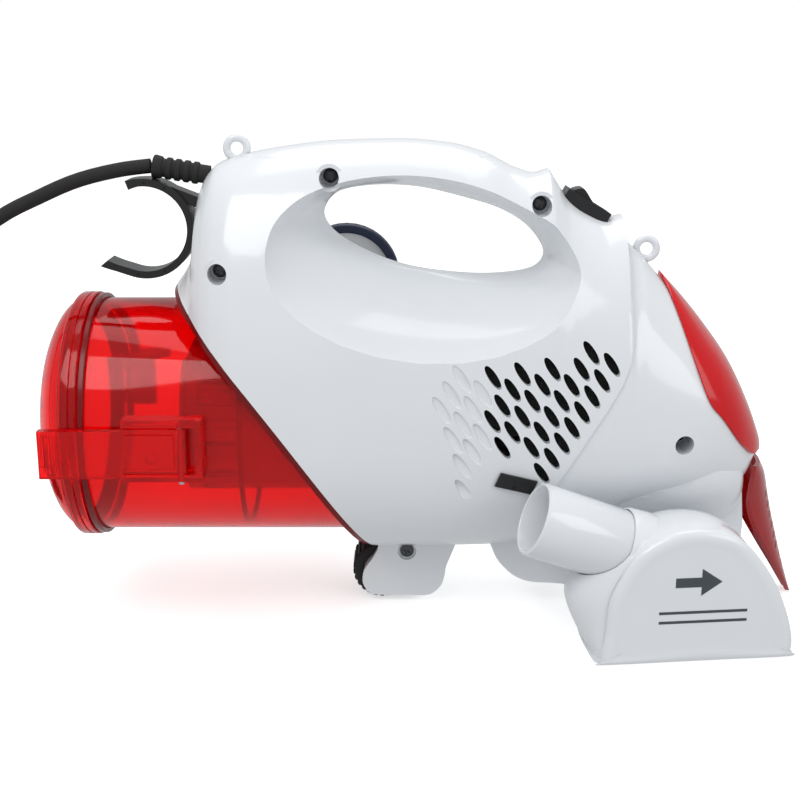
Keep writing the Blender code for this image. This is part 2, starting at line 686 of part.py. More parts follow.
def cup_parts():
    simple("dust_cup", "red", lambda bm: slanted_pipe(bm, CUP_END, ("slant", -6.4), CUP_R, CUP_R - WALL))
    flange = simple("cup_flange", "dark_red", lambda bm: loft(bm, [body_ring(x) for x, *_ in BODY[:14]]))

    def slab(bm):
        edge = [(slant_x(z), z) for z in (270, -40)]
        prism(bm, [(x - 6.0, z) for x, z in edge] + [(x - 0.8, z) for x, z in reversed(edge)], -90, 90)

    cut(flange, slab, "INTERSECT")
    cut(flange, lambda bm: rod(bm, (0, 0, CUP_Z), (1, 0, 0), 50.0, -300, 100, 40))

    def frame(bm):
        slanted_pipe(bm, -114.0, ("slant", -6.6), 38.0, 35.4, 24)

    simple("filter_frame", "red", frame)
    simple("filter_core", "felt", lambda bm: slanted_pipe(bm, -112.0, ("slant", -7.5), 34.8, 24.0, 24))
    simple("filter_cap", "red", lambda bm: rod(bm, (0, 0, CUP_Z), (1, 0, 0), 38.0, -117.5, -114.4, 28))
    hinge = (-160.5, 64.4)
    x, y = hinge

    def lid(bm):
        outer = ((-160.4, LID_R), (-167.5, LID_R), (-169.2, 58.6), (-175.5, 53.5), (-182.0, 42.5), (-187.4, 24.0),
                 (LID_END, 0.0))
        inner = ((LID_END + WALL, 0.0), (-185.0, 23.2), (-180.0, 40.5), (-173.8, 51.2), (-167.0, 54.8),
                 (-160.4, 54.8))
        lathe(bm, outer + inner, (0, 0, CUP_Z), (1, 0, 0), 40)

    lid_obj = simple("cup_lid", "red", lid, (x, y, CUP_Z))

    def knuckle_solid(bm):
        rod(bm, (x, y, 0), (0, 0, 1), 3.4, 91, 103, 16)

    cut(lid_obj, lambda bm: block(bm, (-166.5, 57.5, 91), (-160.9, y, 103)), "UNION")
    cut(lid_obj, knuckle_solid, "UNION")
    cut(lid_obj, lambda bm: rod(bm, (x, y, 0), (0, 0, 1), 1.7, 80, 115, 12))

    hinge_obj = simple("hinge_knuckles", "dark_red", lambda bm: block(bm, (-156.0, 48, 84), (-145, 62.5, 110)))
    for low, high in ((84, 90.6), (103.4, 110)):
        cut(hinge_obj, lambda bm, low=low, high=high: block(bm, (-161.0, 61.2, low), (-150, y + 3.2, high)), "UNION")
        cut(hinge_obj, lambda bm, low=low, high=high: rod(bm, (x, y, 0), (0, 0, 1), 3.4, low, high, 16), "UNION")
    cut(hinge_obj, lambda bm: rod(bm, (0, 0, CUP_Z), (1, 0, 0), CUP_R + GAP, -200, -100, 40))
    cut(hinge_obj, lambda bm: rod(bm, (0, 0, CUP_Z), (1, 0, 0), LID_R + GAP, -200, -160.0, 40))
    cut(hinge_obj, lambda bm: rod(bm, (x, y, 0), (0, 0, 1), 1.7, 80, 115, 12))
    simple("hinge_pin", "steel", lambda bm: rod(bm, (x, y, 0), (0, 0, 1), 1.4, 83, 111, 12))
    simple("lid_gasket", "black", lambda bm: pipe(bm, (0, 0, CUP_Z), (1, 0, 0), LID_R - 0.6, CUP_R + GAP,
                                                  -159.8, -156.8, 40))


def latch_parts():
    """Lever latch on the side that faces -Y; it turns on a vertical pin in its frame."""
    pin_x, pin_y = -112.0, -63.2

    bm = bmesh.new()
    block(bm, (-138.4, -65.5, 80.0), (-102.0, -50, 109.0))
    obj = finish(bm, "latch_frame", "red")
    cut(obj, lambda bm: block(bm, (-150, -80, 83.4), (-105.4, -58.0, 105.6)))
    cut(obj, lambda bm: rod(bm, (0, 0, CUP_Z), (1, 0, 0), CUP_R + GAP, -200, -60, 40))
    cut(obj, lambda bm: rod(bm, (pin_x, pin_y, 0), (0, 0, 1), 1.5, 70, 107.4, 12))

    def lever(bm):
        prism(bm, ((-176.5, 81.5), (-176.5, 104.0), (-139.5, 104.0), (-139.5, 105.0), (-109.4, 105.0), (-109.4, 84.0),
                   (-139.5, 84.0), (-139.5, 81.5)), -65.9, -61.4)

    obj = simple("lid_latch", "red", lever, (pin_x, pin_y, CUP_Z))
    cut(obj, lambda bm: rod(bm, (pin_x, pin_y, 0), (0, 0, 1), 1.7, 70, 120, 12))
    cut(obj, lambda bm: block(bm, (-176.5, -62, 86), (-171.4, -58.4, 100)), "UNION")
    cut(obj, lambda bm: rod(bm, (-125.5, -60, 90.3), (0, -1, 0), 2.6, 0, 7.0, 16), "UNION")
    simple("latch_pin", "steel", lambda bm: rod(bm, (pin_x, pin_y, 0), (0, 0, 1), 1.3, 78.5, 107.0, 12))


# ---- turbo tool ----------------------------------------------------------------------


def tool_outline(shrink, top=1.0, back=0.0):
    """The end outline moved in by shrink, its height scaled, its rear side pushed back."""
    loop = smooth_loop([(x, z, 0) for x, z in TOOL_END], 28)
    mid = Vector((126, 26, 0))
    found = []
    for p in loop:
        q = p - (p - mid).normalized() * shrink
        push = back * max(0.0, (mid.x - q.x) / 44) * math.sin(math.pi * min(1.0, max(0.0, q.y / 62)))
        found.append((q.x - push, max(0.4, q.y * top)))
    return found


def tool_parts():
    def shell(bm):
        rings = []
        for y, shrink, top, back in ((-85.4, 1.0, 1.0, 2.0), (-82, 0.4, 1.0, 8.0), (-74, 0.2, 1.01, 14.5),
                                     (-62, 0.4, 1.01, 15.5), (-52, 1.2, 0.98, 13.0), (-43, 3.0, 0.9, 9.0),
                                     (-36, 6.0, 0.8, 4.0)):
            rings.append([(x, y, z) for x, z in tool_outline(shrink, top, back)])
        loft(bm, rings)

    body = simple("tool_housing", "white", shell, (0, 0, 0))

    def hollow(bm):
        rings = []
        for y, shrink, top, back in ((-83, 4.0, 1.0, 2.0), (-74, 3.6, 1.01, 12.0), (-62, 3.6, 1.01, 13.0),
                                     (-52, 4.2, 0.98, 11.0), (-43, 6.0, 0.9, 7.0), (-39, 8.4, 0.8, 2.0)):
            rings.append([(x, y, z) for x, z in tool_outline(shrink, top, back)])
        loft(bm, rings)

    cut(body, hollow)
    cut(body, lambda bm: block(bm, (104, -81, -8), (148, -41, 12)))
    axis = (TUBE_MOUTH - TUBE_ROOT).normalized()
    cut(body, lambda bm: rod(bm, TUBE_ROOT, axis, TUBE_R + 0.5, -2.0, 70, 32))
    cut(body, lambda bm: rod(bm, TUBE_ROOT, axis, TUBE_R - 3.5, -10.0, 0, 24))

    def near_cap(bm):
        loft(bm, [[(x, y, z) for x, z in tool_outline(s)] for y, s in
                  ((-85.8, 0.0), (-87.6, 0.0), (-88.6, 0.9), (-89.0, 2.6))])

    def far_cap(bm):
        loft(bm, [[(x, y, z) for x, z in tool_outline(s, 0.8)] for y, s in
                  ((-35.6, 6.0), (-32, 6.6), (-30.4, 9.0), (-30.0, 12.0))])

    simple("tool_cap_near", "white", near_cap)
    simple("tool_cap_far", "white", far_cap)
    simple("tool_tube", "white", lambda bm: lathe(
        bm, ((-1.6, TUBE_R - 2.8), (-1.6, TUBE_R), (0, TUBE_R), ((TUBE_MOUTH - TUBE_ROOT).length, TUBE_R),
             ((TUBE_MOUTH - TUBE_ROOT).length, TUBE_R - 2.2), (0, TUBE_R - 2.8)), TUBE_ROOT, axis, 32), TUBE_ROOT)
    x, z = TOOL_ROLL
    simple("tool_roll", "black", lambda bm: rod(bm, (x, 0, z), (0, 1, 0), 9.0, -77.0, -45.6), (x, -60, z))

    simple("tool_bristles", "dark_red", lambda bm: bristles(bm, TOOL_ROLL, 9.3, 15.6, -72.4, -46.6), (x, -60, z))
    for name, low, high in (("tool_bearing_near", -81.6, -77.4), ("tool_bearing_far", -45.2, -43.2)):
        simple(name, "grey", lambda bm, low=low, high=high: rod(bm, (x, 0, z), (0, 1, 0), 5.0, low, high, 16))

    def turbine(bm):
        rod(bm, (101, 0, 34), (0, 1, 0), 4.0, -77, -50, 16)

    obj = simple("tool_turbine", "grey", turbine, (101, -60, 34))

    def vanes(bm):
        for k in range(8):
            piece = bmesh.new()
            block(piece, (3.4, -72, -0.5), (11.0, -52, 0.5))
            piece.transform(Matrix.Rotation(2 * math.pi * k / 8, 4, "Y"))
            made = bpy.data.meshes.new("vane")
            piece.to_mesh(made)
            piece.free()
            bm.from_mesh(made)
            bpy.data.meshes.remove(made)
        bm.transform(Matrix.Translation((101, 0, 34)))

    cut(obj, vanes, "UNION")
    simple("tool_belt", "rubber", lambda bm: belt(bm, (101, 34), 4.3, TOOL_ROLL, 9.3, -76.4, -73.4))
    corner = Vector((*TOOL_CORNER, 0)) * MM
    turn = (Matrix.Translation(corner + Vector((0, TOOL_SHIFT, 0)) * MM) @ Matrix.Rotation(TOOL_TURN, 4, "Z")
            @ Matrix.Translation(-corner))
    for obj in bpy.data.objects:
        if obj.name.startswith("tool_"):
            obj.location = turn @ obj.location
            obj.data.transform(Matrix.Rotation(TOOL_TURN, 4, "Z"))


# ---- cord ----------------------------------------------------------------------------


def cord_parts():
    points = smooth_loop(CORD_ROUTE, 44, closed=False)
    curve = bpy.data.curves.new("cord_tube", "CURVE")
    curve.dimensions = "3D"
    curve.bevel_depth = CORD_D / 2 * MM
    curve.bevel_resolution = 2
    curve.use_fill_caps = True
    spline = curve.splines.new("POLY")
    spline.points.add(len(points) - 1)
    for slot, point in zip(spline.points, points):
        slot.co = (*(point * MM), 1.0)
    obj = bpy.data.objects.new("cord_tube", curve)
    bpy.context.scene.collection.objects.link(obj)
    material = bpy.data.materials.new("cord_tube")
    material.use_nodes = True
    material.node_tree.nodes["Principled BSDF"].inputs["Base Color"].default_value = (0.02, 0.02, 0.02, 1)
    curve.materials.append(material)
    x, y, inner, outer, high = COIL
    simple("cord_coil", "rubber", lambda bm: lathe(
        bm, ((0.2, inner + 4), (0.2, outer - 5), (6, outer), (high - 6, outer), (high, outer - 5), (high, inner + 4),
             (high - 6, inner), (6, inner)), (x, y, 0), (0, 0, 1), 32))

    px, pz = PLUG

    def plug(bm):
        loft(bm, [[(cx + a * s, py, cz + b * s) for a, b in
                   ((-12, -8), (-9, -11), (9, -11), (12, -8), (12, 8), (9, 11), (-9, 11), (-12, 8))]
                  for cx, py, cz, s in (
                      (px - 4.0, 41, pz + 8.1, 0.31), (px - 1.6, 30, pz + 3.2, 0.33), (px, 20.5, pz, 0.45),
                      (px, 10.4, pz, 0.75), (px, 2.4, pz, 1.0), (px, -15.6, pz, 1.0), (px, -19.6, pz, 0.9))])

    simple("plug_body", "rubber", plug)

    for name, side in (("plug_blade_left", -6.3), ("plug_blade_right", 6.3)):
        simple(name, "steel", lambda bm, side=side: block(
            bm, (px + side - 0.8, -37.1, pz - 3.2), (px + side + 0.8, -20.0, pz + 3.2)))


def main():
    for obj in list(bpy.data.objects):
        bpy.data.objects.remove(obj)
    body_shells()
    nose_parts()
    top_parts()
    rear_parts()
    wheel_parts()
    machinery()
    cup_parts()
    latch_parts()
    tool_parts()
    cord_parts()


main()
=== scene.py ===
"""Looks for a hand-held grooming vacuum, its dust cup, mains lead and turbo tool.

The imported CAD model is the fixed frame. Every class below builds one sub-assembly
as finished meshes in the same frame: lengths are given in millimetres, +X points
to the nose, +Y away from the side that carries the turbo tool, and +Z up.
"""

import json
import logging
import math
from dataclasses import dataclass, field
from enum import Enum
from typing import Callable, Sequence, Union

import bmesh
import bpy
from mathutils import Euler, Matrix, Vector

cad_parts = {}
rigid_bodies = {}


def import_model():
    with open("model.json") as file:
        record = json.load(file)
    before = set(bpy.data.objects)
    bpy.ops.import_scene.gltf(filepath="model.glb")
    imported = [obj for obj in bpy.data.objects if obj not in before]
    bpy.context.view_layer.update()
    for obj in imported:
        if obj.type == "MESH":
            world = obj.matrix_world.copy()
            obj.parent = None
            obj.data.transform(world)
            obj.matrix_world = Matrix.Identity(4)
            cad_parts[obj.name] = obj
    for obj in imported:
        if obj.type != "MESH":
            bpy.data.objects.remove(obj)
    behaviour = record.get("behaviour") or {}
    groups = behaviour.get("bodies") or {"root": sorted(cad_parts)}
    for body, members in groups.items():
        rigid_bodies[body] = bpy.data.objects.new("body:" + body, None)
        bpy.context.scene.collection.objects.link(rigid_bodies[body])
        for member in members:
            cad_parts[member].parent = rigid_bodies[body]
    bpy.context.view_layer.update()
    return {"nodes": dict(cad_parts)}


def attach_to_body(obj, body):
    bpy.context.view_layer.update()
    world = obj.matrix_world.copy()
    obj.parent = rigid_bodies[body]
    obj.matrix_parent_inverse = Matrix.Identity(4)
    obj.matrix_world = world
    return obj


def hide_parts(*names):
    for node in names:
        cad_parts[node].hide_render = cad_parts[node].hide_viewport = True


LOG = logging.getLogger("groomer")
MM = 0.001
Point = Sequence[float]
Ring = Sequence[Point]

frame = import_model()


# ---- finishes ------------------------------------------------------------------------


class Grain(Enum):
    """Which fine surface texture a finish carries."""

    SMOOTH = "smooth"
    MOULDED = "moulded"
    BRUSHED = "brushed"
    FIBRE = "fibre"


@dataclass(frozen=True)
class Finish:
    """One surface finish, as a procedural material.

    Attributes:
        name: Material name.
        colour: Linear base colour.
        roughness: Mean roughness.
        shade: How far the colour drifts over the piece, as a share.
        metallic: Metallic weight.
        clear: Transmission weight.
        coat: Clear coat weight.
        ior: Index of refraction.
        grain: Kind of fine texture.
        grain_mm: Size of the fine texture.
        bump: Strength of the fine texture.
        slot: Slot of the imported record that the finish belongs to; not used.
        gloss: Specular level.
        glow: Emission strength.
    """

    name: str
    colour: tuple[float, float, float]
    roughness: float
    shade: float = 0.05
    metallic: float = 0.0
    clear: float = 0.0
    coat: float = 0.0
    ior: float = 1.46
    grain: Grain = Grain.MOULDED
    grain_mm: float = 0.6
    bump: float = 0.05
    slot: str = "white_gloss"
    gloss: float = 0.5
    glow: float = 0.0

    def material(self) -> bpy.types.Material:
        """Build the material once and hand the same one out afterwards.

        Returns:
            The procedural material.
        """
        known = bpy.data.materials.get(self.name)
        if known is not None:
            return known
        made = bpy.data.materials.new(self.name)
        made.use_nodes = True
        tree = made.node_tree
        shader = tree.nodes["Principled BSDF"]
        shader.inputs["Metallic"].default_value = self.metallic
        shader.inputs["Transmission Weight"].default_value = self.clear
        shader.inputs["Coat Weight"].default_value = self.coat
        shader.inputs["Coat Roughness"].default_value = 0.04
        shader.inputs["IOR"].default_value = self.ior
        shader.inputs["Specular IOR Level"].default_value = self.gloss
        shader.inputs["Emission Color"].default_value = (1.0, 1.0, 1.0, 1.0)
        shader.inputs["Emission Strength"].default_value = self.glow
        place = tree.nodes.new("ShaderNodeTexCoord")
        stretch = tree.nodes.new("ShaderNodeMapping")
        if self.grain is Grain.BRUSHED:
            stretch.inputs["Scale"].default_value = (1.0, 0.06, 1.0)
        tree.links.new(place.outputs["Object"], stretch.inputs["Vector"])
        drift = self.noise(tree, stretch, 1000.0 / 38.0, 2.0)
        fine = self.noise(tree, stretch, 1000.0 / self.grain_mm, 3.0)
        blend = tree.nodes.new("ShaderNodeMix")
        blend.data_type = "RGBA"
        low = tuple(c * (1.0 - self.shade) for c in self.colour)
        high = tuple(min(1.0, c * (1.0 + 0.5 * self.shade)) for c in self.colour)
        blend.inputs[6].default_value = (*low, 1.0)
        blend.inputs[7].default_value = (*high, 1.0)
        tree.links.new(drift.outputs["Fac"], blend.inputs[0])
        tree.links.new(blend.outputs[2], shader.inputs["Base Color"])
        spread = tree.nodes.new("ShaderNodeMapRange")
        spread.inputs["To Min"].default_value = self.roughness * 0.8
        spread.inputs["To Max"].default_value = self.roughness * 1.25
        tree.links.new(drift.outputs["Fac"], spread.inputs["Value"])
        tree.links.new(spread.outputs["Result"], shader.inputs["Roughness"])
        if self.grain is not Grain.SMOOTH:
            bump = tree.nodes.new("ShaderNodeBump")
            bump.inputs["Strength"].default_value = self.bump
            bump.inputs["Distance"].default_value = 0.0002
            tree.links.new(fine.outputs["Fac"], bump.inputs["Height"])
            tree.links.new(bump.outputs["Normal"], shader.inputs["Normal"])
        return made

    @staticmethod
    def noise(tree: bpy.types.NodeTree, source: bpy.types.Node, scale: float, detail: float) -> bpy.types.Node:
        """Add a noise texture that reads the piece's own coordinates.

        Args:
            tree: Material tree.
            source: Mapping node to read.
            scale: Noise scale per metre.
            detail: Noise octaves.

        Returns:
            The noise node.
        """
        node = tree.nodes.new("ShaderNodeTexNoise")
        node.inputs["Scale"].default_value = scale
        node.inputs["Detail"].default_value = detail
        tree.links.new(source.outputs["Vector"], node.inputs["Vector"])
        return node


WHITE = Finish("white_moulding", (0.80, 0.82, 0.845), 0.16, 0.03, coat=0.35, grain_mm=1.4, bump=0.02)
RED_CLEAR = Finish("red_clear_moulding", (0.96, 0.004, 0.007), 0.07, 0.04, clear=0.82, ior=1.40,
                   grain=Grain.SMOOTH, slot="red_clear", gloss=0.2)
RED_FRAME = Finish("red_inner_moulding", (0.80, 0.006, 0.010), 0.2, 0.1, clear=0.6, ior=1.40,
                   grain=Grain.SMOOTH, slot="red_clear", gloss=0.2)
RED_LENS = Finish("red_window", (0.62, 0.002, 0.006), 0.14, 0.08, coat=0.25, grain=Grain.SMOOTH, slot="red_gloss",
                  gloss=0.3)
RED_GUARD = Finish("red_guard", (0.50, 0.008, 0.010), 0.12, 0.1, clear=0.35, ior=1.49, coat=0.4,
                   grain=Grain.SMOOTH, slot="red_clear")
DARK_RED = Finish("dark_red_moulding", (0.24, 0.003, 0.005), 0.2, 0.1, clear=0.25,
                  grain=Grain.SMOOTH, slot="dark_red", gloss=0.3)
BLACK = Finish("black_moulding", (0.012, 0.012, 0.013), 0.33, 0.15, grain_mm=0.5, bump=0.12, slot="black_plastic")
GREY = Finish("grey_moulding", (0.30, 0.31, 0.32), 0.35, 0.08, bump=0.08, slot="grey_plastic")
NAVY = Finish("navy_moulding", (0.012, 0.018, 0.045), 0.32, 0.12, bump=0.08, slot="navy_plastic")
RUBBER = Finish("black_rubber", (0.016, 0.016, 0.017), 0.58, 0.2, grain_mm=0.35, bump=0.25, slot="black_rubber")
TYRE = Finish("tyre_rubber", (0.014, 0.014, 0.015), 0.7, 0.2, grain_mm=0.4, bump=0.35, slot="tyre_rubber")
STEEL = Finish("bright_steel", (0.56, 0.57, 0.58), 0.28, 0.08, metallic=1.0, grain=Grain.BRUSHED, grain_mm=0.3,
               bump=0.12, slot="steel")
DARK_STEEL = Finish("blackened_steel", (0.10, 0.10, 0.105), 0.36, 0.1, metallic=1.0, grain_mm=0.3, slot="steel")
CAST = Finish("cast_alloy", (0.50, 0.48, 0.45), 0.42, 0.1, metallic=1.0, bump=0.2, slot="fan_alloy")
FELT = Finish("filter_felt", (0.80, 0.77, 0.72), 0.95, 0.25, grain=Grain.FIBRE, grain_mm=0.5, bump=0.8,
              slot="filter_felt")
NYLON = Finish("nylon_bristle", (0.035, 0.010, 0.012), 0.4, 0.2, slot="bristle")
# Near-black finish for the sheet behind the open vent slots: painted shade for the dark inside of the body, not a
# real foam part.
PAINTED_SHADE_SHEET = Finish("vent_painted_shade", (0.006, 0.006, 0.006), 0.95, 0.3, grain=Grain.FIBRE, grain_mm=1.0, bump=0.8,
              slot="black_plastic")
PRINT = Finish("printed_grey", (0.06, 0.07, 0.08), 0.45, 0.05, grain=Grain.SMOOTH, slot="grey_plastic")
BOARD = Finish("circuit_lacquer", (0.02, 0.10, 0.05), 0.35, 0.15, bump=0.15, slot="navy_plastic")
FLOOR = Finish("studio_floor", (0.82, 0.82, 0.82), 0.6, 0.01, grain_mm=3.0, bump=0.01, glow=0.55)


# ---- mesh tools ----------------------------------------------------------------------


def new_piece(name: str, bm: bmesh.types.BMesh, finish: Finish, body: str = "", nodes: Sequence[str] = (),
              sharp: float = 32.0) -> bpy.types.Object:
    """Turn a bmesh in millimetres into a finished piece that rides on a CAD body.

    Args:
        name: Piece name.
        bm: Closed mesh in millimetres; it is freed.
        finish: Surface finish.
        body: CAD body that the piece rides on; empty leaves it unattached.
        nodes: CAD nodes that the piece stands for.
        sharp: Angle in degrees past which an edge is shaded sharp.

    Returns:
        The new object.
    """
    bmesh.ops.recalc_face_normals(bm, faces=bm.faces)
    bm.transform(Matrix.Scale(MM, 4))
    mesh = bpy.data.meshes.new(name)
    bm.to_mesh(mesh)
    bm.free()
    obj = bpy.data.objects.new(name, mesh)
    bpy.context.scene.collection.objects.link(obj)
    dress(obj, finish, sharp)
    if body:
        attach(obj, body, nodes)
    return obj


def dress(obj: bpy.types.Object, finish: Finish, sharp: float = 32.0) -> None:
    """Give a mesh its material and its smooth shading.

    Args:
        obj: Mesh object.
        finish: Surface finish.
        sharp: Angle in degrees past which an edge is shaded sharp.
    """
    obj.data.materials.clear()
    obj.data.materials.append(finish.material())
    obj.data.shade_smooth()
    obj.data.set_sharp_from_angle(angle=math.radians(sharp))


def attach(obj: bpy.types.Object, body: str, nodes: Sequence[str] = ()) -> None:
    """Ride a finished piece on its CAD body and log it.

    Args:
        obj: The piece.
        body: CAD body.
        nodes: CAD nodes that it stands for.
    """
    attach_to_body(obj, body)
    if nodes:
        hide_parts(*nodes)
    LOG.info("%s: %d faces on %s", obj.name, len(obj.data.polygons), body)


def settle(obj: bpy.types.Object, finish: Finish, body: str, nodes: Sequence[str] = (), sharp: float = 32.0) -> None:
    """Dress a shaped piece and ride it on its CAD body.

    Args:
        obj: The piece.
        finish: Its finish.
        body: CAD body.
        nodes: CAD nodes that it stands for.
        sharp: Angle in degrees past which an edge is shaded sharp.
    """
    dress(obj, finish, sharp)
    attach(obj, body, nodes)


def loft(bm: bmesh.types.BMesh, rings: Sequence[Ring], caps: bool = True, closed: bool = False) -> None:
    """Skin rings that have the same number of points.

    Args:
        bm: Target mesh.
        rings: Rings of points.
        caps: Close the two ends with flat faces.
        closed: Join the last ring back onto the first.
    """
    rows = [[bm.verts.new(p) for p in ring] for ring in rings]
    count = len(rows[0])
    pairs = list(zip(rows, rows[1:])) + ([(rows[-1], rows[0])] if closed else [])
    for low, high in pairs:
        for i in range(count):
            j = (i + 1) % count
            bm.faces.new((low[i], low[j], high[j], high[i]))
    if caps and not closed:
        bm.faces.new(rows[0])
        bm.faces.new(list(reversed(rows[-1])))


def onto(axis: Point) -> Matrix:
    """Matrix that turns +Z onto an axis."""
    return Vector((0, 0, 1)).rotation_difference(Vector(axis).normalized()).to_matrix().to_4x4()


def lathe(bm: bmesh.types.BMesh, profile: Sequence[tuple[float, float]], centre: Point, axis: Point,
          segments: int = 64) -> None:
    """Turn a closed profile round an axis.

    Args:
        bm: Target mesh.
        profile: Pairs of height along the axis and radius; radius 0 closes on the axis.
        centre: Point on the axis at height 0.
        axis: Axis direction.
        segments: Facets round the axis.
    """
    place = Matrix.Translation(Vector(centre)) @ onto(axis)
    rows = []
    for height, radius in profile:
        if radius <= 0.0:
            rows.append([bm.verts.new(place @ Vector((0, 0, height)))])
            continue
        rows.append([bm.verts.new(place @ Vector((radius * math.cos(a), radius * math.sin(a), height)))
                     for a in (2 * math.pi * k / segments for k in range(segments))])
    for low, high in zip(rows, rows[1:] + rows[:1]):
        for i in range(segments):
            j = (i + 1) % segments
            if len(low) == 1 and len(high) == 1:
                break
            if len(low) == 1:
                bm.faces.new((low[0], high[j], high[i]))
            elif len(high) == 1:
                bm.faces.new((low[i], low[j], high[0]))
            else:
                bm.faces.new((low[i], low[j], high[j], high[i]))


def rod(bm: bmesh.types.BMesh, centre: Point, axis: Point, radius: float, low: float, high: float,
        soft: float = 0.0, segments: int = 40) -> None:
    """Add a solid rod whose ends may be rounded by soft."""
    edge = ((low, radius),) if not soft else round_corner(low, radius, soft, -1)
    top = ((high, radius),) if not soft else tuple(reversed(round_corner(high, radius, soft, 1)))
    lathe(bm, ((low, 0.0), *edge, *top, (high, 0.0)), centre, axis, segments)


def round_corner(height: float, radius: float, soft: float, way: int) -> tuple[tuple[float, float], ...]:
    """Profile points of a rounded outer corner, from the flat end to the side."""
    return tuple((height - way * soft * (1 - math.cos(a)), radius - soft * (1 - math.sin(a)))
                 for a in (math.radians(d) for d in (0, 25, 50, 70, 90)))


def prism(bm: bmesh.types.BMesh, outline: Sequence[tuple[float, float]], low: float, high: float) -> None:
    """Extrude an (x, z) outline along Y."""
    loft(bm, [[(x, y, z) for x, z in outline] for y in (low, high)])


def block(bm: bmesh.types.BMesh, low: Point, high: Point) -> None:
    """Add a box between two corners, as raw stock for bevels and cuts."""
    prism(bm, ((low[0], low[2]), (high[0], low[2]), (high[0], high[2]), (low[0], high[2])), low[1], high[1])


def soften(bm: bmesh.types.BMesh, width: float, segments: int = 4, angle: float = 35.0) -> None:
    """Round every edge that turns by more than an angle.

    Args:
        bm: Mesh to change.
        width: Bevel width in millimetres.
        segments: Bevel segments.
        angle: Smallest edge angle that is rounded, in degrees.
    """
    edges = [e for e in bm.edges if e.is_manifold and e.calc_face_angle(0.0) > math.radians(angle)]
    bmesh.ops.bevel(bm, geom=edges, offset=width, segments=segments, affect="EDGES", clamp_overlap=True,
                    profile=0.5)


def spline(points: Sequence[Point], count: int, closed: bool = True) -> list[Vector]:
    """Read points from a Catmull-Rom curve through the given ones.

    Args:
        points: Points that the curve passes through.
        count: How many points to read.
        closed: Whether the curve is a loop.

    Returns:
        The points read, evenly spaced in parameter.
    """
    size = len(points)
    spans = size if closed else size - 1
    found = []
    for k in range(count):
        t = spans * k / (count if closed else count - 1)
        i = min(int(t), spans - 1)
        u = t - i
        index = [(i + d) % size if closed else min(max(i + d, 0), size - 1) for d in (-1, 0, 1, 2)]
        a, b, c, d = (Vector(points[n]) for n in index)
        found.append(0.5 * (2 * b + (c - a) * u + (2 * a - 5 * b + 4 * c - d) * u * u
                            + (3 * b - a - 3 * c + d) * u ** 3))
    return found


def sheet(bm: bmesh.types.BMesh, outer: Sequence[Ring], inner: Sequence[Ring]) -> None:
    """Close two grids of points into one curved plate.

    Args:
        bm: Target mesh.
        outer: Rows of points on the outside.
        inner: Rows of points on the inside.
    """
    top = [[bm.verts.new(p) for p in row] for row in outer]
    low = [[bm.verts.new(p) for p in row] for row in inner]
    high, wide = len(outer), len(outer[0])
    for i in range(high - 1):
        for j in range(wide - 1):
            bm.faces.new((top[i][j], top[i][j + 1], top[i + 1][j + 1], top[i + 1][j]))
            bm.faces.new((low[i][j], low[i + 1][j], low[i + 1][j + 1], low[i][j + 1]))
    rim = ([(0, j) for j in range(wide)] + [(i, wide - 1) for i in range(1, high)]
           + [(high - 1, j) for j in range(wide - 2, -1, -1)] + [(i, 0) for i in range(high - 2, 0, -1)])
    for (a, b), (c, d) in zip(rim, rim[1:] + rim[:1]):
        bm.faces.new((top[a][b], low[a][b], low[c][d], top[c][d]))


Cutter = Callable[[bmesh.types.BMesh], None]


def shape(obj: bpy.types.Object, tool: Union[Cutter, bpy.types.Object],
          operation: str = "DIFFERENCE") -> bpy.types.Object:
    """Cut an object with a tool, or join the tool to it.

    Args:
        obj: Object to change.
        tool: A ready object, which is removed, or a function that adds the tool to a mesh in millimetres.
        operation: Boolean operation.

    Returns:
        The changed object.
    """
    if not isinstance(tool, bpy.types.Object):
        bm = bmesh.new()
        tool(bm)
        tool = new_piece("stock", bm, WHITE)
    modifier = obj.modifiers.new("shape", "BOOLEAN")
    modifier.object = tool
    modifier.operation = operation
    modifier.solver = "MANIFOLD"
    take_evaluated(obj, modifier)
    drop(tool)
    return obj


def take_evaluated(obj: bpy.types.Object, modifier: bpy.types.Modifier) -> None:
    """Give an object its evaluated mesh and take the modifier off it."""
    graph = bpy.context.evaluated_depsgraph_get()
    mesh = bpy.data.meshes.new_from_object(obj.evaluated_get(graph))
    obj.modifiers.remove(modifier)
    old, obj.data = obj.data, mesh
    bpy.data.meshes.remove(old)


def drop(obj: bpy.types.Object) -> None:
    """Remove an object and its mesh."""
    mesh = obj.data
    bpy.data.objects.remove(obj)
    bpy.data.meshes.remove(mesh)


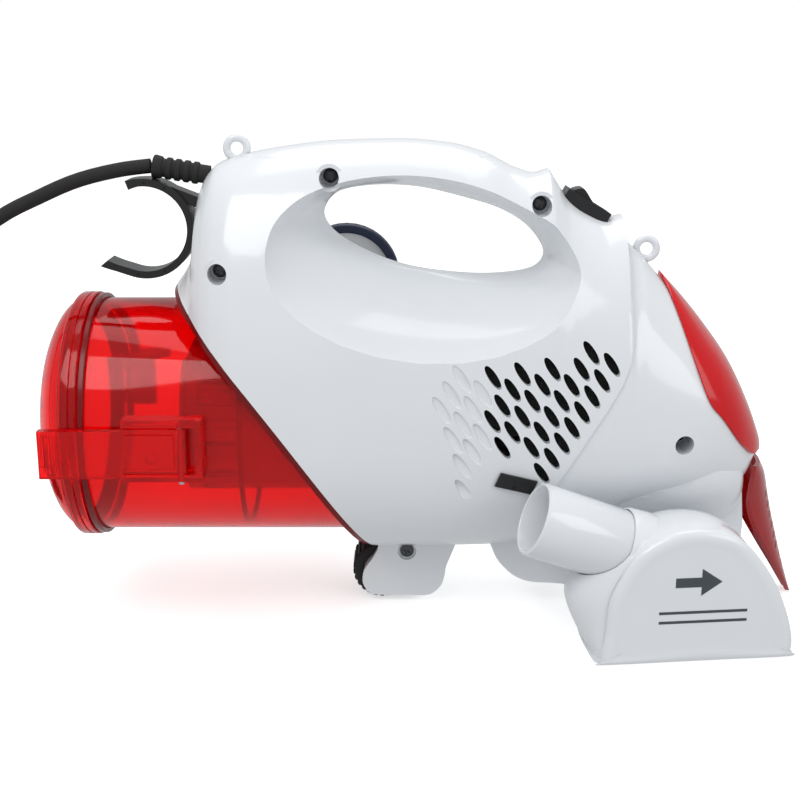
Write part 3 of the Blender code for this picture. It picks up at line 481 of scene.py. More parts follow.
class Repeater:
    """Geometry Nodes tree that repeats a prototype along a step and a turn."""

    TREE = "repeat_piece"

    def tree(self) -> bpy.types.NodeTree:
        """Build the node tree, or fetch it if it is there.

        Returns:
            A tree with inputs Count, Step, Turn and Finish.
        """
        known = bpy.data.node_groups.get(self.TREE)
        if known is not None:
            return known
        group = bpy.data.node_groups.new(self.TREE, "GeometryNodeTree")
        face = group.interface
        face.new_socket("Geometry", in_out="INPUT", socket_type="NodeSocketGeometry")
        face.new_socket("Count", in_out="INPUT", socket_type="NodeSocketInt")
        face.new_socket("Step", in_out="INPUT", socket_type="NodeSocketVector")
        face.new_socket("Turn", in_out="INPUT", socket_type="NodeSocketVector")
        face.new_socket("Finish", in_out="INPUT", socket_type="NodeSocketMaterial")
        face.new_socket("Geometry", in_out="OUTPUT", socket_type="NodeSocketGeometry")
        node = group.nodes.new
        link = group.links.new
        given, out = node("NodeGroupInput"), node("NodeGroupOutput")
        line = node("GeometryNodeMeshLine")
        link(given.outputs["Count"], line.inputs["Count"])
        link(given.outputs["Step"], line.inputs["Offset"])
        index = node("GeometryNodeInputIndex")
        turn = node("ShaderNodeVectorMath")
        turn.operation = "SCALE"
        link(given.outputs["Turn"], turn.inputs[0])
        link(index.outputs[0], turn.inputs["Scale"])
        copy = node("GeometryNodeInstanceOnPoints")
        link(line.outputs["Mesh"], copy.inputs["Points"])
        link(given.outputs["Geometry"], copy.inputs["Instance"])
        link(turn.outputs["Vector"], copy.inputs["Rotation"])
        real = node("GeometryNodeRealizeInstances")
        link(copy.outputs["Instances"], real.inputs["Geometry"])
        coat = node("GeometryNodeSetMaterial")
        link(real.outputs["Geometry"], coat.inputs["Geometry"])
        link(given.outputs["Finish"], coat.inputs["Material"])
        link(coat.outputs["Geometry"], out.inputs["Geometry"])
        return group

    def run(self, name: str, build: Callable[[bmesh.types.BMesh], None], finish: Finish, count: int,
            step: Point = (0, 0, 0), turn: Point = (0, 0, 0), move: Matrix = Matrix.Identity(4)) -> bpy.types.Object:
        """Repeat a prototype and return the result as one plain mesh.

        Args:
            name: Name of the result.
            build: Adds the prototype, in millimetres.
            finish: Surface finish.
            count: How many copies.
            step: Step between copies, in millimetres.
            turn: Turn between copies, as Euler angles in radians.
            move: Where the whole result goes, in millimetres.

        Returns:
            The result, unattached.
        """
        bm = bmesh.new()
        build(bm)
        obj = new_piece(name, bm, finish)
        modifier = obj.modifiers.new("repeat", "NODES")
        modifier.node_group = self.tree()
        names = {s.name: s.identifier for s in modifier.node_group.interface.items_tree if s.in_out == "INPUT"}
        modifier[names["Count"]] = count
        modifier[names["Step"]] = [c * MM for c in step]
        modifier[names["Turn"]] = list(turn)
        modifier[names["Finish"]] = finish.material()
        obj.update_tag()
        take_evaluated(obj, modifier)
        obj.data.transform(Matrix.Scale(MM, 4) @ move @ Matrix.Scale(1 / MM, 4))
        dress(obj, finish)
        return obj


REPEAT = Repeater()


def join(name: str, parts: Sequence[bpy.types.Object], finish: Finish) -> bpy.types.Object:
    """Join unattached meshes into one object.

    Args:
        name: Name of the result.
        parts: Meshes to join; they are removed.
        finish: Surface finish.

    Returns:
        The joined object.
    """
    bm = bmesh.new()
    for part in parts:
        bm.from_mesh(part.data)
        drop(part)
    bm.transform(Matrix.Scale(1 / MM, 4))
    return new_piece(name, bm, finish)


# ---- body shells ---------------------------------------------------------------------


@dataclass
class BodyShell:
    """The two glossy shell halves: loop handle, scoop, vents, wells and nozzle foot.

    Attributes:
        stations: Sections as (x, top, belly, half width).
        widest: Height of the widest line at the rear.
        sides: Points round a section.
        wall: Shell wall thickness.
        opening: Finger opening (x, z) at the middle plane.
        scoop_mid: Centre of the rim round the opening.
        scoop_size: Half sizes of that rim.
        scoop_tilt: Its slope in radians.
        screws: Wells as (x, z, depth from the middle plane).
        eyelets: Eyelet centres as (x, z).
        switch: Rocker position and slope.
        inlet: Hose inlet centre and radius.
        chin: Level sections (z, rear, front, half width) between the nose and the foot.
        panel: Front edge of the raised side panel as (x, z).
        panel_rise: How far the panel stands out, as a scale across the machine.
        vent_step: Step from slot to slot along a row.
        vent_rows: First slot (x, z) of each row, how many are open, how many follow blind.
        lone_slot: A blind slot below the rows.
    """

    stations: tuple[tuple[float, float, float, float], ...] = (
        (-121.0, 160.0, 30.0, 50.0), (-116.0, 167.0, 30.0, 50.5), (-112.0, 175.0, 30.0, 49.0),
        (-110.2, 186.0, 30.0, 46.0), (-109.2, 198.0, 30.0, 45.0), (-107.2, 206.5, 30.0, 47.0),
        (-103.5, 213.5, 30.0, 51.0), (-98.0, 218.8, 30.0, 55.0), (-88.0, 222.3, 30.0, 58.5),
        (-68.0, 226.3, 30.0, 59.5), (-40.0, 229.4, 30.0, 59.5), (-12.0, 230.1, 30.0, 59.0),
        (10.0, 228.4, 30.0, 58.0), (28.0, 223.9, 30.2, 57.0), (43.0, 216.6, 31.5, 55.5),
        (52.0, 214.1, 33.5, 54.8), (58.5, 215.8, 35.0, 54.0), (62.0, 211.0, 36.5, 53.6),
        (68.0, 202.5, 39.0, 53.0), (77.0, 196.0, 42.5, 52.0), (87.0, 192.4, 46.0, 51.0),
        (94.6, 193.9, 49.0, 50.0), (96.5, 183.5, 50.0, 49.6), (104.0, 175.6, 52.0, 48.6),
        (113.0, 165.4, 54.0, 47.4), (125.0, 152.2, 55.0, 45.0), (136.0, 138.4, 55.5, 41.5),
        (147.0, 122.5, 56.5, 36.0), (157.0, 102.5, 63.0, 26.0), (163.0, 87.0, 73.6, 15.0),
        (165.5, 80.5, 76.2, 6.0),
    )
    widest: float = 95.0
    sides: int = 150
    wall: float = 2.5
    opening: tuple[tuple[float, float], ...] = (
        (-48.1, 197.0), (-41.0, 205.3), (-25.4, 208.4), (-4.0, 207.6), (17.8, 202.7), (36.1, 197.0),
        (50.0, 188.0), (57.6, 175.5), (50.4, 167.1), (30.0, 164.8), (2.6, 167.4), (-18.0, 172.3),
        (-37.0, 181.3), (-46.0, 189.0),
    )
    scoop_mid: tuple[float, float] = (0.0, 178.5)
    scoop_size: tuple[float, float] = (75.0, 42.0)
    scoop_tilt: float = math.radians(-6.0)
    screws: tuple[tuple[float, float, float], ...] = (
        (-95.1, 172.3, 44.0), (-44.5, 213.9, 25.5), (53.6, 201.0, 26.0), (121.5, 91.4, 38.0))
    eyelets: tuple[tuple[float, float], ...] = ((-89.6, 225.4), (107.5, 177.5))
    switch: tuple[float, float, float] = (77.8, 199.8, math.radians(31.0))
    inlet: tuple[float, float, float] = (-41.0, 150.5, 24.0)
    chin: tuple[tuple[float, float, float, float], ...] = (
        (78, 76, 154, 38), (72, 68, 157.5, 38.5), (66, 60, 158, 37.5), (62, 55, 158.2, 35.8), (58, 50, 158.2, 33.5),
        (54, 46, 158.2, 30.8), (50, 42, 158, 28), (46, 40, 157.8, 25.4), (42, 38, 157.5, 23), (38, 38, 156, 20))
    panel: tuple[tuple[float, float], ...] = (
        (60.0, 222.0), (70.0, 206.0), (80.6, 188.9), (89.5, 176.9), (94.2, 163.3), (96.0, 152.8), (95.8, 141.0),
        (94.6, 132.0), (90.6, 121.5), (84.5, 111.0), (75.5, 97.1), (67.5, 84.5), (60.5, 73.0), (52.0, 57.0),
        (42.0, 34.0), (38.0, 20.0))
    panel_rise: float = 1.018
    vent_step: tuple[float, float] = (-4.5, -7.2)
    vent_rows: tuple[tuple[float, float, int, int], ...] = (
        (85.3, 131.0, 8, 0), (75.7, 136.5, 7, 0), (57.6, 129.8, 6, 0), (43.8, 128.0, 4, 3), (30.3, 126.7, 1, 4),
        (16.0, 126.5, 0, 3))
    lone_slot: tuple[float, float] = (18.0, 72.0)

    def section(self, x: float) -> tuple[float, float, float]:
        """Top, belly and half width at x, on a monotone cubic through the stations.

        Args:
            x: Position along the machine.

        Returns:
            Top height, belly height and half width.
        """
        rows = self.stations
        last = len(rows) - 2
        i = 0
        while i < last and x > rows[i + 1][0]:
            i += 1
        span = rows[i + 1][0] - rows[i][0]
        t = min(1.0, max(0.0, (x - rows[i][0]) / span))
        found = []
        for k in (1, 2, 3):
            slope = [(rows[n + 1][k] - rows[n][k]) / (rows[n + 1][0] - rows[n][0]) for n in range(len(rows) - 1)]
            ends = []
            for n in (i, i + 1):
                if n in (0, len(rows) - 1):
                    ends.append(slope[min(n, len(slope) - 1)])
                    continue
                a, b = slope[n - 1], slope[n]
                ends.append(2 * a * b / (a + b) if a * b > 0 else 0.0)
            h00, h10 = 2 * t ** 3 - 3 * t ** 2 + 1, t ** 3 - 2 * t ** 2 + t
            h01, h11 = 3 * t ** 2 - 2 * t ** 3, t ** 3 - t ** 2
            found.append(h00 * rows[i][k] + h10 * span * ends[0] + h01 * rows[i + 1][k] + h11 * span * ends[1])
        return found[0], found[1], found[2]

    def skin(self, x: float, angle: float, offset: float = 0.0) -> Vector:
        """A point on the outer skin.

        Args:
            x: Position along the machine.
            angle: Angle round the section, 0 at the far side and 90 degrees at the top.
            offset: Distance out from the skin.

        Returns:
            The point.
        """
        top, belly, half = self.section(x)
        middle = min(self.widest, 0.5 * (top + belly))
        s, c = math.sin(angle), math.cos(angle)
        power = 2 / 2.05 if s > 0 else 2 / 2.35
        reach = (top - middle if s > 0 else middle - belly) + offset
        return Vector((x, (half + offset) * math.copysign(abs(c) ** power, c),
                       middle + reach * math.copysign(abs(s) ** power, s)))

    def ring(self, x: float, offset: float = 0.0, sides: int = 0, spread: float = 1.0) -> list[Vector]:
        """One closed section of the skin.

        Args:
            x: Position along the machine.
            offset: Distance out from the skin.
            sides: Points round; 0 takes the shell's own number.
            spread: Scale across the machine.

        Returns:
            The points round the section.
        """
        count = sides or self.sides
        points = [self.skin(x, 2 * math.pi * (k + 0.5) / count, offset) for k in range(count)]
        return [Vector((p.x, p.y * spread, p.z)) for p in points]

    @staticmethod
    def slant_x(z: float) -> float:
        """Where the slanted joint to the dust cup is at height z."""
        bulge = 12.0 * max(0.0, math.sin(math.pi * min(1.0, max(0.0, (z + 10) / 190)))) ** 0.8
        return -119.4 + (156.3 - z) * 0.7053 + bulge

    @classmethod
    def slant_edge(cls, offset: float) -> list[tuple[float, float]]:
        """The joint's edge (x, z) from above the body to below it, moved along X."""
        return [(cls.slant_x(z) + offset, z) for z in (270, *range(184, -15, -4), -40)]

    def scoop(self, offset: float) -> list[list[Vector]]:
        """Rings of the hourglass that leaves the finger opening and the scoop round it.

        Args:
            offset: Grow the hourglass by this much.

        Returns:
            The rings from the near side to the far side.
        """
        loop = spline([(x, z, 0) for x, z in self.opening], 120)
        mid = Vector((*self.scoop_mid, 0))
        keys = [(0, 0.0), (4, 0.015), (8, 0.07), (13, 0.16), (18, 0.28), (24, 0.44), (30, 0.62), (36, 0.77),
                (42, 0.9), (49, 1.0), (56, 1.08), (75, 1.3)]
        flare = [p for p in spline([(y, b, 0) for y, b in keys], 34, closed=False)]
        rings = []
        for sign in (-1, 1):
            steps = reversed(flare[1:]) if sign < 0 else flare
            for step in steps:
                ring = []
                for p in loop:
                    away = (p - mid).normalized()
                    angle = math.atan2(away.y, away.x) - self.scoop_tilt
                    rim = Vector((self.scoop_size[0] * math.cos(angle), self.scoop_size[1] * math.sin(angle), 0))
                    rim.rotate(Euler((0, 0, self.scoop_tilt)))
                    q = p.lerp(mid + rim, max(0.0, step.y)) + away * offset
                    ring.append(Vector((q.x, sign * step.x, q.y)))
                rings.append(ring)
        return rings

    def foot(self, bm: bmesh.types.BMesh) -> None:
        """Add the nozzle foot's outer shape.

        Args:
            bm: Target mesh.
        """
        outline = [(30, 60), (31.5, 36)]
        outline += [(p.x, p.y) for p in spline(
            [(33.7, 31, 0), (36, 25.7, 0), (39.7, 21, 0), (45.2, 16.1, 0), (53.4, 13, 0), (68, 12, 0), (84, 9, 0)],
            20, closed=False)]
        outline += [(155, 9), (156.8, 30), (157.5, 44), (156, 62), (140, 84)]
        prism(bm, outline, -22.0, 22.0)
        soften(bm, 3.0, 5, 40.0)

    def chin_block(self, bm: bmesh.types.BMesh) -> None:
        """Add the narrowing from the nose down to the foot.

        Args:
            bm: Target mesh.
        """
        rings = []
        for z, rear, front, half in self.chin:
            mid, long = 0.5 * (rear + front), 0.5 * (front - rear)
            rings.append([(mid + long * math.copysign(abs(math.cos(a)) ** 0.5, math.cos(a)),
                           half * math.copysign(abs(math.sin(a)) ** 0.5, math.sin(a)), z)
                          for a in (2 * math.pi * (k + 0.5) / 96 for k in range(96))])
        loft(bm, rings)

    def raised_panel(self) -> bpy.types.Object:
        """Build the stock of the side panels that stand out from the skin.

        Returns:
            The stock, both sides in one.
        """
        bm = bmesh.new()
        loft(bm, [self.ring(-121 + 220 * k / 180, 0.0, 0, self.panel_rise) for k in range(181)])
        stock = new_piece("panel_stock", bm, WHITE)
        edge = list(self.panel) + [(-200.0, 20.0), (-200.0, 222.0)]
        shape(stock, lambda bm: prism(bm, edge, -90, 90), "INTERSECT")
        return stock

    def body(self) -> bpy.types.Object:
        """Build the whole closed body before it is split.

        Returns:
            The body with its scoop, hollow, foot and pockets.
        """
        span = self.stations[-1][0] - self.stations[0][0]
        xs = [self.stations[0][0] + span * k / 230 for k in range(230)] + [self.stations[-1][0]]
        bm = bmesh.new()
        loft(bm, [self.ring(x) for x in xs])
        body = new_piece("body_stock", bm, WHITE)
        shape(body, self.foot, "UNION")
        shape(body, self.chin_block, "UNION")
        shape(body, self.raised_panel(), "UNION")
        shape(body, lambda bm: prism(bm, (*self.slant_edge(0.0), (-320, -40), (-320, 270)), -90, 90))
        shape(body, lambda bm: loft(bm, self.scoop(0.0)))
        bm = bmesh.new()
        inner = [-108 + 264 * k / 60 for k in range(61)]
        loft(bm, [self.ring(x, -self.wall - 0.6, 60) for x in inner])
        hollow = new_piece("hollow_stock", bm, WHITE)
        back = self.slant_edge(self.wall * 1.4)
        shape(hollow, lambda bm: prism(bm, (*back, (-320, -40), (-320, 270)), -90, 90))
        shape(hollow, lambda bm: loft(bm, self.scoop(self.wall)))
        shape(body, hollow)
        shape(body, lambda bm: prism(bm, ((124, -5), (170, -5), (170, 46), (158, 52), (130, 46), (124, 30)),
                                     -19.5, 19.5))
        shape(body, lambda bm: block(bm, (60, -19, 12), (128, 19, 60)))
        shape(body, lambda bm: rod(bm, (-90, 0, 95), (1, 0, 0), 20, 0, 60))
        for x, z in self.eyelets:
            shape(body, lambda bm, x=x, z=z: rod(bm, (x, 0, z), (0, 1, 0), 7.0, -2.1, 2.1))
        x, z, tilt = self.switch

        def pocket(bm: bmesh.types.BMesh) -> None:
            """Seat of the switch frame."""
            block(bm, (-12.3, -8.3, -13), (12.3, 8.3, 12))
            bm.transform(Matrix.Translation((x, 0, z)) @ Matrix.Rotation(tilt, 4, "Y"))

        shape(body, pocket)
        return body

    def slot_row(self, name: str, x: float, z: float, count: int, depth: tuple[float, float]) -> bpy.types.Object:
        """One row of slanted pointed slots, as cutters.

        Args:
            name: Name of the cutter.
            x: Centre of the first slot.
            z: Height of the first slot.
            count: Number of slots.
            depth: Lowest and highest y of the cutters.

        Returns:
            The cutters as one object.
        """
        turn = math.radians(-57.0)
        outline = []
        for k in range(20):
            a = 2 * math.pi * k / 20
            along, across = 6.5 * math.cos(a), 2.0 * math.copysign(abs(math.sin(a)) ** 0.9, math.sin(a))
            outline.append((along * math.cos(turn) - across * math.sin(turn),
                            along * math.sin(turn) + across * math.cos(turn)))
        return REPEAT.run(name, lambda bm: prism(bm, outline, depth[0], depth[1]), BLACK, count,
                          (self.vent_step[0], 0, self.vent_step[1]), (0, 0, 0), Matrix.Translation((x, 0, z)))

    def dimple(self, x: float, z: float) -> Callable[[bmesh.types.BMesh], None]:
        """A shallow blind slot on the curved side.

        Args:
            x: Centre.
            z: Height of the centre.

        Returns:
            A builder of the cutter.
        """

        def build(bm: bmesh.types.BMesh) -> None:
            """Add the lens-shaped cutter.

            Args:
                bm: Target mesh.
            """
            surface = self.side_y(x, z) * self.panel_rise
            rings = []
            for step, size in ((-3.0, 1.12), (-0.3, 1.12), (0.5, 1.04), (0.9, 0.98), (1.0, 0.9)):
                turn = math.radians(-57.0)
                ring = []
                for k in range(20):
                    a = 2 * math.pi * k / 20
                    along, across = 7.0 * size * math.cos(a), 2.1 * size * math.sin(a)
                    ring.append((x + along * math.cos(turn) - across * math.sin(turn), surface + step,
                                 z + along * math.sin(turn) + across * math.cos(turn)))
                rings.append(ring)
            loft(bm, rings)

        return build

    def side_y(self, x: float, z: float) -> float:
        """The near side's y at a place on the skin.

        Args:
            x: Position along the machine.
            z: Height.

        Returns:
            The skin's y, which is negative.
        """
        top, belly, half = self.section(x)
        middle = min(self.widest, 0.5 * (top + belly))
        up = z > middle
        share = abs(z - middle) / (top - middle if up else middle - belly)
        power = 2.05 if up else 2.35
        return -half * max(0.0, 1 - min(1.0, share) ** power) ** (1 / power)

    def build(self) -> None:
        """Split the body, cut the side details and place both shells."""
        body = self.body()
        for side, name in ((-1, "shell_near_skin"), (1, "shell_far_skin")):
            shell = body.copy()
            shell.data = body.data.copy()
            shell.name = name
            bpy.context.scene.collection.objects.link(shell)
            low, high = sorted((side * 0.12, side * 120.0))
            shape(shell, lambda bm, low=low, high=high: block(bm, (-220, low, -20), (220, high, 260)), "INTERSECT")
            if side < 0:
                for x, z, depth in self.screws:
                    high = abs(self.side_y(x, z)) - 2.0
                    shape(shell, lambda bm, x=x, z=z, low=depth - 16, high=high: rod(
                        bm, (x, 0, z), (0, -1, 0), 6.4, low, high), "UNION")
                    shape(shell, lambda bm, x=x, z=z, low=depth - 12: rod(bm, (x, 0, z), (0, -1, 0), 4.6, low, 90))
                for n, (x, z, count, blind) in enumerate(self.vent_rows):
                    if count:
                        shape(shell, self.slot_row(f"vent_row_{n}", x, z, count, (-75, -30)))
                    for k in range(count, count + blind):
                        shape(shell, self.dimple(x + self.vent_step[0] * k, z + self.vent_step[1] * k))
                shape(shell, self.dimple(*self.lone_slot))
            else:
                x, z, radius = self.inlet
                shape(shell, lambda bm: rod(bm, (x, 0, z), (0, 1, 0), radius + 0.3, 14, 100, segments=72))
            settle(shell, WHITE, "machine", (name[: name.rindex("_")],), sharp=28)
        drop(body)
        # Near-black sheet behind the open vent slots, as painted shade for the dark inside.
        self.painted_shade_sheet()

    def painted_shade_sheet(self) -> None:
        """Near-black sheet behind the open slots: painted shade standing in for the dark inside of the body."""
        rows_out, rows_in = [], []
        for i in range(26):
            x = 22 + 74 * i / 25
            low = 74.0 if x > 45 else 98.0
            high = 133.0 + 9.0 * min(1.0, max(0.0, (x - 45) / 15))
            row = []
            for j in range(26):
                z = low + (high - low) * j / 25
                row.append(Vector((x, self.side_y(x, z) + self.wall + 1.2, z)))
            rows_out.append(row)
            rows_in.append([p + Vector((0, 1.4, 0)) for p in row])
        bm = bmesh.new()
        sheet(bm, rows_out, rows_in)
        new_piece("vent_screen", bm, PAINTED_SHADE_SHEET, "machine")


# ---- nose: window, visor, sole and brush ---------------------------------------------


@dataclass
class Nose:
    """Red window, slotted red guard, sole plate and the foot's own brush.

    Attributes:
        shell: Body shell, for its skin.
        roll: Brush axis (x, z).
        spans: Half angles of the window at positions x.
        rows: Guard rows as (z, front x, edge x, half width).
    """

    shell: BodyShell
    roll: tuple[float, float] = (142.0, 25.5)
    spans: tuple[tuple[float, float], ...] = (
        (114.5, 5.0), (116.5, 16.0), (119.4, 30.6), (125.4, 51.5), (132.5, 70.0), (138.0, 77.0), (143.0, 81.0),
        (149.0, 86.0), (155.0, 90.0), (160.0, 92.0), (164.0, 86.0))
    rows: tuple[tuple[float, float, float, float], ...] = (
        (73.0, 167.4, 162.4, 20.0), (66.0, 170.9, 161.5, 20.5), (54.0, 173.7, 160.4, 21.0),
        (44.0, 176.0, 163.2, 20.8), (34.0, 178.7, 168.6, 18.8), (22.0, 182.0, 175.6, 15.0),
        (10.0, 185.7, 183.0, 9.5), (0.6, 189.0, 188.4, 4.0))

    def window_rows(self, offset: float) -> list[list[Vector]]:
        """Grid of the window, creased along a crest on each side.

        Args:
            offset: Distance out from the shell.

        Returns:
            Rows of points from the upper tip to the lower tip.
        """
        grid = []
        for span in spline([(x, s, 0) for x, s in self.spans], 60, closed=False):
            x, spread = span.x, max(4.0, span.y)
            row = []
            for k in range(49):
                u = k / 24 - 1
                angle = math.radians(90 + spread * u)
                crest = 0.5
                drop = max(0.0, (abs(u) - crest) / (1 - crest)) * (1.9 if offset > 2 else 0.0)
                point = self.shell.skin(x, angle, offset - drop)
                row.append(point + Vector((offset * 0.6 * max(0.0, (x - 118) / 45), 0, 0)))
            grid.append(row)
        return grid

    def guard_rows(self, depth: float) -> list[list[Vector]]:
        """Grid of the guard at a depth behind its front.

        Args:
            depth: Wall thickness behind the front.

        Returns:
            Rows of points from the hinge to the tip.
        """
        keys = self.smooth_rows(56)
        base = math.sqrt(0.08)
        grid = []
        for z, front, edge, half in keys:
            row = []
            for k in range(33):
                t = k / 16 - 1
                bulge = math.sqrt(max(0.0, 1 - 0.92 * t * t))
                x = edge + (front - edge) * (bulge - base) / (1 - base)
                row.append(Vector((x - depth + 0.6, t * (half - depth * 0.35 * abs(t)), z)))
            grid.append(row)
        return grid

    def smooth_rows(self, count: int) -> list[tuple[float, float, float, float]]:
        """The guard's rows read from smooth curves."""
        front = spline([(z, f, e) for z, f, e, _ in self.rows], count, closed=False)
        wide = spline([(z, h, 0) for z, _, _, h in self.rows], count, closed=False)
        return [(a.x, a.y, a.z, max(1.0, b.y)) for a, b in zip(front, wide)]

    def build(self) -> None:
        """Build and place the nose pieces."""
        bm = bmesh.new()
        sheet(bm, self.window_rows(2.9), self.window_rows(0.5))
        new_piece("front_window", bm, RED_LENS, "machine", ("front_lens",), 25)
        bm = bmesh.new()
        sheet(bm, self.guard_rows(0.0), self.guard_rows(2.0))
        guard = new_piece("guard_plate", bm, RED_GUARD)
        for row in range(9):
            z = 56.0 - row * 5.4
            half = min(15.5, 6.0 + 0.3 * z)
            for side in (-1, 1):

                def slit(bm: bmesh.types.BMesh, side: int = side) -> None:
                    """One slanted slit."""
                    prism(bm, ((150, -1.7), (200, -1.7), (200, 1.7), (150, 1.7)), -0.65, 0.65)
                    soften(bm, 0.4, 2, 60)
                    bm.transform(Matrix.Rotation(side * math.radians(24), 4, "X"))

                cutter = REPEAT.run("slit_row", slit, BLACK, max(1, int((half - 1.0) / 3.2)), (0, side * 3.2, 0),
                                    (0, 0, 0), Matrix.Translation((0, side * 2.2, z)))
                shape(guard, cutter)
        settle(guard, RED_GUARD, "visor", ("visor",), sharp=30)
        self.brush()
        bm = bmesh.new()
        block(bm, (84, -17.5, 6.0), (121, 17.5, 8.6))
        soften(bm, 0.7, 3)
        sole = new_piece("sole_skid", bm, GREY)
        grooves = REPEAT.run("sole_grooves", lambda bm: rod(bm, (86, 0, 5.9), (1, 0, 0), 0.8, 0, 33, segments=12),
                             GREY, 6, (0, 5.0, 0), (0, 0, 0), Matrix.Translation((0, -12.5, 0)))
        shape(sole, grooves)
        settle(sole, GREY, "machine", ("sole_plate",))

    def brush(self) -> None:
        """Brush core with spiral rows of separate tufts."""
        x, z = self.roll
        spin_brush("foot_brush", (x, 0.0, z), 9.5, 15.8, (-15.0, 17.6), (-13.6, 12.0), "brush",
                   ("brush_roll", "brush_bristles"))


def spin_brush(name: str, centre: Point, core: float, tip: float, span: tuple[float, float],
               rows: tuple[float, float], body: str, nodes: Sequence[str]) -> None:
    """Build a turned brush: a grooved core and spiral rows of tufts.

    Args:
        name: Base name of the pieces.
        centre: A point on the axis; the axis runs along Y.
        core: Core radius.
        tip: Radius at the bristle tips.
        span: Lowest and highest y of the core.
        rows: Lowest and highest y of the tufts.
        body: CAD body.
        nodes: The CAD core and bristle nodes.
    """
    x, _, z = centre
    bm = bmesh.new()
    rod(bm, (x, 0, z), (0, 1, 0), core, span[0], span[1], 0.8)
    new_piece(name, bm, BLACK, body, (nodes[0],))
    count = int((rows[1] - rows[0]) / 1.3)

    def tuft(bm: bmesh.types.BMesh) -> None:
        """A splayed bundle of five bristles."""
        for k in range(5):
            lean = Vector((math.sin(k * 2.4) * 0.08, math.cos(k * 2.4) * 0.06, 1.0))
            profile = ((core - 0.3, 0.0), (core - 0.3, 0.34), (tip - 0.2, 0.22), (tip - 0.1, 0.0))
            lathe(bm, profile, (0, 0, 0), lean, 6)

    parts = []
    for lane in range(6):
        start = Matrix.Translation((x, rows[0], z)) @ Matrix.Rotation(math.pi / 3 * lane, 4, "Y")
        parts.append(REPEAT.run("tuft_row", tuft, NYLON, count, (0, 1.3, 0), (0, math.pi / 2 / count, 0), start))
    tufts = join(f"{name}_bristles", parts, NYLON)
    attach(tufts, body, (nodes[1],))


# ---- top and rear fittings -----------------------------------------------------------


